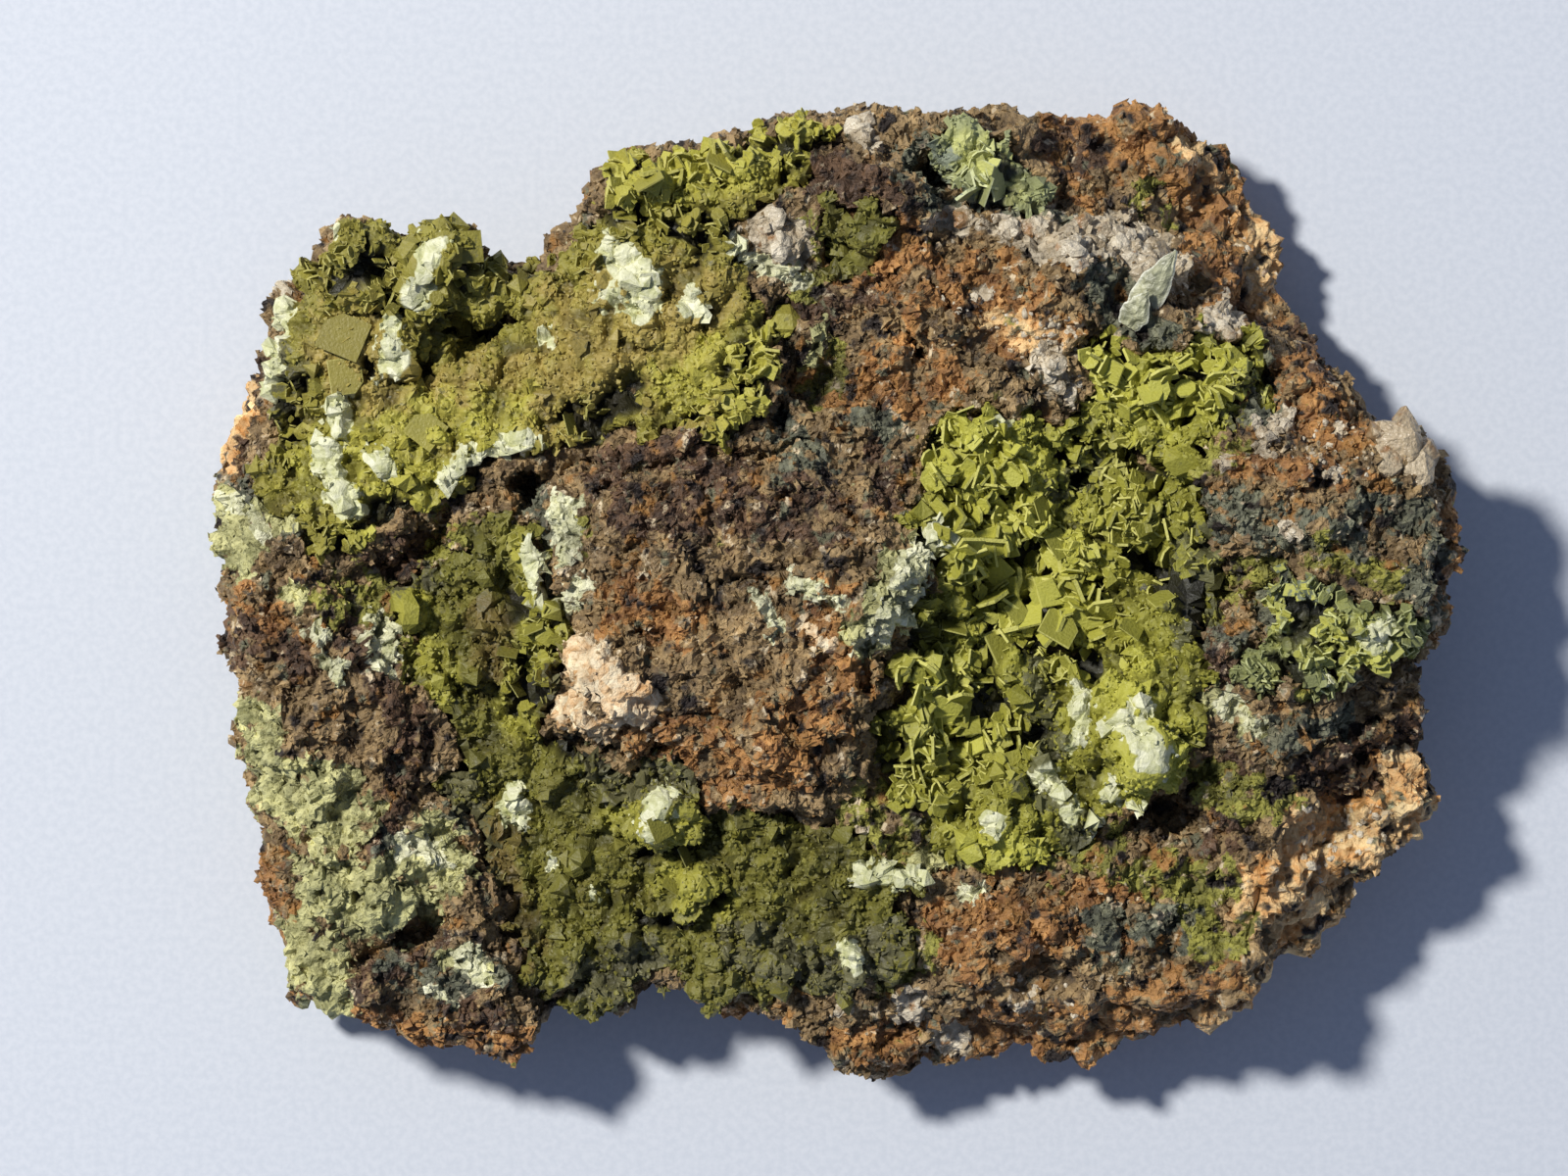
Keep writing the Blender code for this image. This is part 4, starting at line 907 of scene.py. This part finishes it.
def crust_skin(node, large, medium, small, sunk):
    """The lumpy skin that the plates grow from: lumps of three sizes and sunk gaps, all in mm."""
    shape = bmesh.new()
    shape.from_mesh(crust_bed)
    layer = shape.verts.layers.float.new("own")
    for vert, share in zip(shape.verts, cover[node]):
        vert[layer] = share
    spare = [face for face in shape.faces if min(vert[layer] for vert in face.verts) < 0.1]
    bmesh.ops.delete(shape, geom=spare, context="FACES")
    for longest in SKIN_EDGES:
        coarse = [edge for edge in shape.edges if edge.calc_length() > longest]
        bmesh.ops.subdivide_edges(shape, edges=coarse, cuts=1, use_grid_fill=True)
    bmesh.ops.smooth_vert(shape, verts=shape.verts, factor=0.5, use_axis_x=True, use_axis_y=True,
                          use_axis_z=True)
    mesh = mesh_of(shape, node + "_skin")

    # Lumps of three sizes, over the whole body of the crust
    places, normals = places_of(mesh), normals_of(mesh)
    own = values_of(mesh, "own")
    body = smoothstep(own * 1.3)
    relief = 0.35 * rough(places, 3.0 * MM, 71)
    relief += large * pebbled(places, LARGE_LUMP, 72) + medium * pebbled(places, MEDIUM_LUMP, 73)
    relief += small * pebbled(places, SMALL_LUMP, 74)

    # Lanes between the clumps of plates, and the gaps that the photograph shows
    masks = masks_at(places, ["pale", "platy", "gap"])
    cap = masks["pale"]
    gap = lanes(places + rough(places, LANE_WAVE, 77, 2)[:, None] * LANE_SHIFT, CLUMP_SIZE, 78,
                LANE_HALF_WIDTH)
    gap *= smoothstep(0.7 + 1.3 * rough(places, 4.5 * MM, 79, 2)) * (1 - cap)
    gap = np.maximum(gap * (0.35 + 0.65 * masks["platy"]), masks["gap"]) * body
    # The low parts of the relief and the gaps are kept as crease, where the finish paints near-black shade.
    shade_in_hollows = smoothstep(-0.1 - 1.0 * relief / (large + medium + small))
    keep_values(mesh, {"gap": gap, "crease": 0.95 * np.maximum(0.8 * shade_in_hollows, smoothstep(1.6 * gap))})

    # The pale caps stand highest, and no gap goes through to the rock
    caps = cap * (0.7 + 0.9 * pebbled(places, CAP_LUMP, 75))
    rise = SKIN_HEIGHT * body - 0.3 * MM + body * MM * (relief * (1 - 0.7 * cap) + caps)
    deepest = 0.3 * MM * body - 0.1 * MM - BED_DEPTH * smoothstep(own)
    rise = np.maximum(rise - gap * sunk * MM, deepest)
    move_to(mesh, places + normals * rise[:, None])
    return mesh


def plates_and_crumbs(skin, sown, dice, widths, on_edge):
    """The plates and crumbs on sown spots of a skin: their forms, frames, places, sizes and tints."""
    spots, normals, corners, share = sown
    count = len(spots)
    in_plates = read_at(skin, "platy", corners, share) * (1 - read_at(skin, "pale", corners, share))
    is_plate = dice.random(count) < 0.07 + 0.93 * in_plates
    wide = widths[0] + (widths[1] - widths[0]) * dice.beta(1.3, 2.8, count) * (0.3 + 0.7 * in_plates)
    wide *= MM * (1 + 0.7 * read_at(skin, "bold", corners, share))
    crumb_size = (0.28 + 0.72 * dice.beta(1.1, 3.8, count)) * MM * (0.85 + 0.3 * in_plates)

    # Some plates stand on edge, the others lie, and the crumbs lie anyhow
    standing = dice.random(count) < on_edge
    tilts = np.radians(np.where(standing, dice.uniform(50, 88, count), dice.uniform(0, 40, count)))
    tilts = np.where(is_plate, tilts, dice.uniform(0, 3, count))
    frames = turned(normals, dice.uniform(0, math.tau, count), tilts, dice.uniform(0, math.tau, count))
    plate_sizes = wide[:, None] * np.stack([np.ones(count), dice.uniform(0.7, 1.1, count),
                                            dice.uniform(0.7, 1.2, count)], axis=1)
    crumb_sizes = crumb_size[:, None] * dice.uniform(0.75, 1.25, (count, 3))
    sizes = np.where(is_plate[:, None], plate_sizes, crumb_sizes)
    choice = np.where(is_plate, dice.choice(SMALL_TABLETS, count, p=SMALL_CHANCES),
                      len(TABLETS) + dice.integers(0, len(CRUMBS), count))
    lift = np.where(is_plate, wide * (0.04 + 0.26 * np.sin(tilts)) * (0.4 + 0.6 * in_plates),
                    0.16 * crumb_size)
    tone_and_shade = np.where(is_plate, 0.3 + 0.5 * dice.random(count), 0.2 + 0.6 * dice.random(count))
    return choice, frames, spots + normals * lift[:, None], sizes, tone_and_shade


def large_plates(skin, large, dice):
    """The large plates that stand out of a skin: their forms, frames, places, sizes and tints."""
    skin_tree = tree_of(skin)
    count = len(large)
    spot_x, spot_y, width, tilt, heading = np.array(large).T
    lean = np.radians(tilt)
    height = np.array([seen_from_above(skin_tree, px, py)[0].z for px, py in zip(spot_x, spot_y)])
    raised = height + width * MM * 0.34 * np.sin(lean) + 0.15 * MM
    frames = turned(np.tile([0.0, 0.0, 1.0], (count, 1)), np.radians(heading), lean,
                    dice.uniform(-0.3, 0.3, count))
    places = np.stack([*from_pixels(spot_x, spot_y), raised], axis=1)
    sizes = (width * MM)[:, None] * LARGE_SHAPE
    return dice.choice(LARGE_TABLETS, count), frames, places, sizes, dice.uniform(0.45, 0.75, count)


def joined(name, finish, *meshes):
    """One piece of a few meshes in one finish."""
    pieces = [new_piece(name, mesh, finish) for mesh in meshes]
    with bpy.context.temp_override(active_object=pieces[0], selected_editable_objects=pieces):
        bpy.ops.object.join()
    return pieces[0]


def grow_crust(node, slot, finish, relief, crumbs, plates, widths, on_edge, seed, large):
    """One crust: its skin, its crumbs and plates, and the large plates that stand out."""
    dice = np.random.default_rng(seed)
    skin = crust_skin(node, *relief)
    skin_places = places_of(skin)
    masks = masks_at(skin_places, [*COLOUR_MASKS, "platy", "bold"])
    platy, bold, cap = masks["platy"], masks["bold"], masks["pale"]
    # The skin's tone follows its medium lumps, with each lump's own tone: lighter on their tops and darker
    # between them, as painted light and shade.
    tone_and_shade = np.clip(0.45 + 0.25 * pebbled(skin_places, MEDIUM_LUMP, 73), 0, 1)
    keep_values(skin, {**masks, "tone_and_shade": tone_and_shade})

    # Plates grow where the crust is platy and crumbs elsewhere, but few on the caps and in the gaps
    density = (crumbs + (plates - crumbs) * platy * (1 - cap)) * smoothstep(values_of(skin, "own") * 1.3)
    density *= (1 - 0.95 * smoothstep(2.2 * values_of(skin, "gap"))) * (1 - 0.85 * smoothstep(1.6 * cap))
    sown = sow(skin, density * (1 - 0.55 * bold), PLATE_SPACING, seed)
    bits = plates_and_crumbs(skin, sown, dice, widths, on_edge)
    count = len(bits[0])
    if large:
        bits = [np.concatenate(pair) for pair in zip(bits, large_plates(skin, large, dice))]
    choice, frames, places, sizes, tone_and_shade = bits

    # The plates are less dusty than the skin, and the large ones are of one even tone, darkened a little
    # with painted shade
    kept = {**masks_at(places, COLOUR_MASKS), "tone_and_shade": tone_and_shade, "crease": np.zeros(len(places))}
    kept["grey"] *= 0.45
    kept["mustard"][count:] *= 0.3
    kept["bright"][count:] *= 0.4
    kept["crease"][count:] = 0.12
    grown = scattered(node + "_plates", TABLETS + CRUMBS, choice, frames, places, sizes, kept,
                      len(TABLETS))

    # The skin gets its thickness, with a coarser underside, which lies hidden in the rock
    solid = with_modifier(skin, "SOLIDIFY", thickness=SKIN_THICKNESS, offset=-1)
    underside = list(range(len(skin.vertices), len(solid.vertices)))
    solid = with_modifier(solid, "DECIMATE", underside, ratio=0.6)
    crust = joined(node + "_druse", finish, solid, grown)
    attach(crust, "root")
    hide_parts(node)


# Resinous wulfenite, dulled by dust. Each crust has its own tones, from dark olive to pale grey-green
olive = wulfenite_finish("mustard olive wulfenite", "#625C24", "#A79F42", "#A3904C", "#B8B54C",
                         "#6A6746", "#B8B264")
dark_olive = wulfenite_finish("dark olive wulfenite", "#45431B", "#8C8838", "#6F5F32", "#B0AB42",
                              "#686543", "#A5A15C")
bright_green = wulfenite_finish("bright yellow-green wulfenite", "#6A6826", "#A9A63F", "#A09838",
                                "#BCBA52", "#64633E", "#D2CE74")
grey_green = wulfenite_finish("grey-green wulfenite", "#5C6248", "#9EA25E", "#8C8A48", "#C4C050",
                              "#6C7460", "#CACE90")
dusty_green = wulfenite_finish("dusty grey-green wulfenite", "#70775C", "#B2B67A", "#9C9A5C", "#CCCB6E",
                               "#848C78", "#D6DAA6")

# The large plates, placed one by one: place in pixels, width in mm, lean and heading in degrees
UPPER_LEFT_LARGE = [
    (482, 257, 3.0, 18, 10), (355, 345, 4.2, 8, 70), (357, 386, 3.4, 6, 20), (438, 440, 3.2, 6, 40),
    (585, 435, 2.0, 62, 15), (405, 300, 2.2, 78, 95), (664, 192, 2.8, 60, 120), (736, 172, 2.6, 55, 60),
    (640, 225, 2.2, 60, 80),
]
LOWER_LEFT_LARGE = [
    (528, 700, 2.2, 70, 35), (548, 640, 2.0, 65, 120), (690, 900, 2.2, 40, 50), (676, 840, 2.4, 35, 10),
    (520, 665, 1.9, 60, 80), (700, 870, 2.0, 65, 20),
]
CENTRE_LARGE = [
    (1004, 560, 3.3, 74, 30), (986, 606, 2.9, 62, 20), (1035, 594, 2.2, 40, 70), (1019, 606, 2.3, 60, 110),
    (1036, 624, 2.1, 30, 45), (1078, 640, 3.4, 32, 60), (1024, 658, 3.6, 25, 15), (972, 640, 2.4, 66, 75),
    (964, 702, 3.8, 26, 20), (972, 724, 3.2, 32, 60), (986, 740, 2.4, 45, 100), (940, 724, 2.2, 45, 140),
    (1078, 556, 2.6, 40, 30), (1050, 573, 2.1, 55, 160), (1188, 404, 2.8, 70, 60), (1266, 366, 1.8, 25, 15),
    (1090, 590, 2.4, 30, 75), (1120, 620, 2.6, 45, 130), (1060, 520, 2.2, 55, 10), (1150, 640, 2.2, 50, 50),
    (1000, 690, 2.4, 60, 95), (1110, 560, 2.2, 65, 20), (1180, 610, 2.2, 55, 110),
]
TOP_LARGE = [(1014, 192, 3.2, 60, 10), (1002, 200, 2.8, 72, 165)]

# Node, slot and finish. Large, medium and small lumps and gaps of the skin, in mm. Crumbs and plates on a
# square mm, least and greatest width of the plates in mm, the share that stands on edge, and a seed
CRUSTS = [
    ("crust_upper_left", "wulfenite", olive,
     (0.9, 0.45, 0.3, 2.0), 2.8, 3.2, (0.45, 1.6), 0.7, 11, UPPER_LEFT_LARGE),
    ("crust_lower_left", "wulfenite_dark", dark_olive,
     (1.5, 0.8, 0.34, 2.0), 2.8, 2.8, (0.45, 1.5), 0.75, 23, LOWER_LEFT_LARGE),
    ("crust_centre", "wulfenite", bright_green,
     (1.5, 0.7, 0.25, 3.4), 2.8, 3.0, (0.55, 2.3), 0.75, 37, CENTRE_LARGE),
    ("crust_right", "wulfenite_pale", grey_green,
     (1.3, 0.7, 0.3, 1.2), 2.4, 3.5, (0.5, 1.6), 0.75, 41, []),
    ("crust_top", "wulfenite_pale", dusty_green,
     (0.9, 0.5, 0.2, 0.8), 2.4, 3.5, (0.5, 1.8), 0.8, 53, TOP_LARGE),
    ("crust_top_pocket", "wulfenite_dark", dark_olive,
     (1.2, 0.7, 0.3, 1.4), 2.4, 3.5, (0.5, 1.5), 0.75, 61, []),
]
for crust in CRUSTS:
    grow_crust(*crust)

# The vein quartz
# Broken lumps of clear to milky quartz, grown in the vein before the wulfenite. They sit in the rock with
# glassy, broken faces, white where they are fractured and beige where iron has stained them.

# Where it shows: half width in pixels, largest lump in mm, lumps, and the course in pixels
QUARTZ_STROKES = [
    (14, 2.5, 20, [(772, 236), (806, 256)]), (8, 2.0, 9, [(872, 130), (888, 144)]),
    (8, 2.1, 26, [(945, 226), (1010, 234), (1055, 238)]),
    (20, 2.8, 66, [(1085, 262), (1150, 248), (1180, 274)]),
    (13, 2.5, 22, [(1222, 340), (1256, 320)]), (9, 1.8, 10, [(1284, 442), (1302, 430)]),
    (14, 2.3, 22, [(1008, 804), (1050, 788)]), (7, 1.6, 10, [(876, 848), (878, 885)]),
    (10, 2.1, 10, [(925, 1016), (932, 1036)]), (10, 1.8, 10, [(950, 1060), (985, 1066)]),
    (7, 1.5, 6, [(853, 1030), (860, 1032)]), (7, 1.3, 6, [(1043, 1022), (1050, 1024)]),
    (7, 1.5, 6, [(1303, 545), (1308, 543)]), (7, 1.3, 6, [(1352, 482), (1360, 484)]),
    (8, 1.8, 13, [(1098, 700), (1086, 750)]), (9, 2.0, 13, [(1084, 404), (1062, 368)]),
    (30, 1.0, 57, [(960, 320), (1060, 330), (1085, 360)]), (34, 0.9, 53, [(1290, 470), (1420, 450)]),
    (34, 1.0, 57, [(1330, 870), (1400, 850)]), (30, 0.8, 35, [(960, 980), (1100, 1040)]),
    (24, 0.8, 31, [(1270, 240), (1300, 300)]),
]
LUMP_SHAPE = np.array([1.2, 1, 0.6])


def quartz_finish(name, clear, milky, through):
    """Broken vein quartz: glassy faces, clouded inside and stained in patches."""
    material, tree, shader = new_finish(name)
    tone_and_shade = add_node(tree, "ShaderNodeAttribute", {}, "Fac", attribute_name="tone_and_shade")
    cloud = layered(tree, clear,
                    (tone_and_shade, milky),
                    (patchy(tree, 1.0 * MM, 0.5, 0.7), milky),
                    (patchy(tree, 1.8 * MM, 0.56, 0.7), "#A5794A"))
    facets = add_node(tree, "ShaderNodeBump", {"Strength": 0.8, "Distance": 0.2 * MM,
                                               "Height": patchy(tree, 0.6 * MM, 0.3, 0.7)})
    set_inputs(tree, shader, {"Base Color": cloud, "Transmission Weight": through, "Roughness": 0.3,
                              "IOR": 1.54, "Normal": facets})
    return material


QUARTZ_LUMPS = [grain_form(seed, 20) for seed in range(40, 46)]
rock_tree = tree_of(rock_mesh)
dice = np.random.default_rng(83)
lump_places, lump_sizes = [], []
for half_width, largest, lumps, course in QUARTZ_STROKES:
    for _ in range(lumps):
        leg = dice.integers(0, len(course) - 1)
        (ax, ay), (bx, by) = course[leg:leg + 2]
        along = dice.random()
        across = dice.normal(0, 0.55, 2) * half_width
        spot_x = ax * (1 - along) + bx * along + across[0]
        spot_y = ay * (1 - along) + by * along + across[1]
        place, normal = seen_from_above(rock_tree, spot_x, spot_y)
        if place is not None and normal.z > 0.2:
            size = largest * (0.3 + 0.7 * dice.beta(1.3, 1.8)) * MM
            lump_places.append(place - normal * size * 0.12)
            lump_sizes.append(size * dice.uniform(0.7, 1.2, 3) * LUMP_SHAPE)
count = len(lump_places)
frames = turned(np.tile([0.0, 0.0, 1.0], (count, 1)), dice.uniform(0, math.tau, count),
                dice.uniform(0, 0.7, count), dice.uniform(0, math.tau, count))
quartz_mesh = scattered("vein_quartz", QUARTZ_LUMPS, dice.integers(0, len(QUARTZ_LUMPS), count), frames,
                        np.array(lump_places), np.array(lump_sizes), {"tone_and_shade": dice.random(count)})
vein_quartz = new_piece("vein_quartz", quartz_mesh,
                        quartz_finish("milky vein quartz", "#AC9A7C", "#E8DCC2", 0.2))
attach(vein_quartz, "root")

# The quartz lumps at the right edge
# A knot of beige to clear quartz stands proud of the right edge: broken lumps grown together, fast in
# the rock, with slightly worn edges.

# Middle in pixels, height of the middle in mm, and size in mm
EDGE_LUMPS = [
    ((1418, 455), 19.4, (5.6, 4.4, 3.4)), ((1406, 474), 19.7, (3.8, 3.2, 2.8)),
    ((1437, 478), 19.2, (3.6, 4.2, 3.2)), ((1426, 440), 19.0, (4.0, 2.6, 3.0)),
    ((1448, 466), 18.4, (2.6, 3.2, 3.2)), ((1398, 446), 19.0, (2.6, 2.6, 2.8)),
]
EDGE_WEAR = 0.12 * MM
middles = np.array([(*from_pixels(*middle), height * MM) for middle, height, size in EDGE_LUMPS])
sizes = np.array([size for middle, height, size in EDGE_LUMPS]) * MM
count = len(EDGE_LUMPS)
frames = turned(np.tile([0.0, 0.0, 1.0], (count, 1)), dice.uniform(0, math.tau, count),
                dice.uniform(-0.3, 0.3, count), dice.uniform(-0.3, 0.3, count))
edge_mesh = scattered("edge_quartz", QUARTZ_LUMPS, np.arange(count), frames, middles, sizes,
                      {"tone_and_shade": dice.random(count)})
edge_quartz = new_piece("quartz_lumps", edge_mesh,
                        quartz_finish("beige vein quartz", "#A98D68", "#DECBA8", 0.3))
wear = edge_quartz.modifiers.new("Worn edges", "BEVEL")
wear.width = EDGE_WEAR
wear.segments = 2
wear.limit_method = "ANGLE"
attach(edge_quartz, "root")
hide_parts("quartz_right")

# The pale blades
# Two curved, leaf-like blades of pale green, glassy crystal, most likely cerussite, lead carbonate. They
# stand out of the rock near the top right, their thin rim painted bright as a highlight.

# Foot and tip in pixels, their heights in mm, greatest width in mm, and the arch across the blade in mm
BLADES = [
    ((1152, 326), (1193, 262), 18.8, 20.7, 3.4, 0.5), ((1146, 336), (1164, 303), 19.2, 21.0, 2.7, 0.35),
]
BLADE_THICKNESS = 0.3 * MM
BLADE_RIPPLE = 0.22 * MM
ROWS, COLUMNS = 22, 10

# Cerussite: a satin, milky green with paler edges, where the light gathers
pale_cerussite, tree, shader = new_finish("pale green cerussite")
edge_highlight = add_node(tree, "ShaderNodeAttribute", {}, "Fac", attribute_name="rim")
blade_tone = layered(tree, "#8F9070", (patchy(tree, 1.4 * MM, 0.4, 0.6), "#BFBF98"), (edge_highlight, "#ECECD6"))
grain = add_node(tree, "ShaderNodeBump", {"Strength": 0.7, "Distance": 0.12 * MM,
                                          "Height": patchy(tree, 0.5 * MM, 0.3, 0.7)})
set_inputs(tree, shader, {"Base Color": blade_tone, "Transmission Weight": 0.15, "Roughness": 0.5,
                          "IOR": 1.9, "Normal": grain})

blade_meshes = []
for foot, tip, foot_height, tip_height, width, arch in BLADES:
    start = Vector((*from_pixels(*foot), foot_height * MM))
    along = Vector((*from_pixels(*tip), tip_height * MM)) - start
    side = along.cross(Vector((0, 0, 1))).normalized()
    up = side.cross(along).normalized()
    shape = bmesh.new()
    rim = shape.verts.layers.float.new("rim")
    bmesh.ops.create_grid(shape, x_segments=COLUMNS, y_segments=ROWS, size=1)
    for vert in shape.verts:
        across, share = vert.co.x, (vert.co.y + 1) / 2
        spread = width * MM / 2 * (1 - share ** 2.2) * min(0.6 + share, 1)
        spread *= 1 + 0.25 * noise.noise(Vector((share * 7, 2 * (across > 0), width)))
        bend = arch * MM * (1 - across * across) * math.sin(math.pi * share)
        ripple = BLADE_RIPPLE * noise.noise(Vector((across * 2.5, share * 6, width)))
        # The edges are kept as rim, where a highlight is painted.
        vert[rim] = smoothstep(abs(across) * 4 - 3)
        vert.co = start + along * share + side * across * spread + up * (bend + ripple)
    blade_meshes.append(mesh_of(shape, "blade"))
blades = joined("cerussite_blades", pale_cerussite, *blade_meshes)
wall = blades.modifiers.new("Thickness", "SOLIDIFY")
wall.thickness = BLADE_THICKNESS
wall.offset = 0
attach(blades, "root")
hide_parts("pale_blades")

# The floor, the light and the camera
# A sheet of pale paper, a key light from the upper left and a weak sky, and a camera straight above.

FLOOR_REACH = 1.2
floor_shape = bmesh.new()
bmesh.ops.create_grid(floor_shape, x_segments=1, y_segments=1, size=FLOOR_REACH)

# Uncoated paper, matt and faintly mottled. Its fibres are drawn coarser than real ones, so that they show
paper, tree, shader = new_finish("pale uncoated paper")
fibres = layered(tree, "#C9CFD8", (patchy(tree, 0.6 * MM, 0.3, 0.7), "#D1D6DE"))
set_inputs(tree, shader, {"Base Color": fibres, "Roughness": 0.9})
floor = new_piece("paper_floor", mesh_of(floor_shape, "paper"), paper)

KEY_DISTANCE = 1.1
KEY_AZIMUTH = math.radians(148)
KEY_ELEVATION = math.radians(52)
KEY_DISC = 0.12
KEY_WATTS = 15
KEY_COLOUR = (1.0, 0.97, 0.92)
key_data = bpy.data.lights.new("Key", "AREA")
key_data.shape = "DISK"
key_data.size = KEY_DISC
key_data.energy = KEY_WATTS
key_data.color = KEY_COLOUR
key = bpy.data.objects.new("Key", key_data)
key.location = (KEY_DISTANCE * math.cos(KEY_ELEVATION) * math.cos(KEY_AZIMUTH),
                KEY_DISTANCE * math.cos(KEY_ELEVATION) * math.sin(KEY_AZIMUTH),
                KEY_DISTANCE * math.sin(KEY_ELEVATION))
key.rotation_euler = (-key.location).to_track_quat("-Z", "Y").to_euler()
bpy.context.scene.collection.objects.link(key)

SKY_COLOUR = (0.5, 0.64, 1.0, 1)
SKY_STRENGTH = 0.24
sky = bpy.data.worlds.new("Sky")
sky.use_nodes = True
background = sky.node_tree.nodes["Background"]
set_inputs(sky.node_tree, background, {"Color": SKY_COLOUR, "Strength": SKY_STRENGTH})
bpy.context.scene.world = sky

# At half the height of the specimen the frame is as wide as the photograph's 1600 pixels
FRAME_WIDTH_PX = 1600
FRAME_MIDDLE_PX = (800, 600)
CAMERA_DISTANCE = 0.5
FRAMED_HEIGHT = 12 * MM
SENSOR_WIDTH = 36
camera_data = bpy.data.cameras.new("Camera")
camera_data.sensor_width = SENSOR_WIDTH
camera_data.lens = SENSOR_WIDTH * CAMERA_DISTANCE / (FRAME_WIDTH_PX * PIXEL)
camera = bpy.data.objects.new("Camera", camera_data)
camera.location = (*from_pixels(*FRAME_MIDDLE_PX), FRAMED_HEIGHT + CAMERA_DISTANCE)
bpy.context.scene.collection.objects.link(camera)
bpy.context.scene.camera = camera
bpy.context.scene.view_settings.view_transform = "Standard"
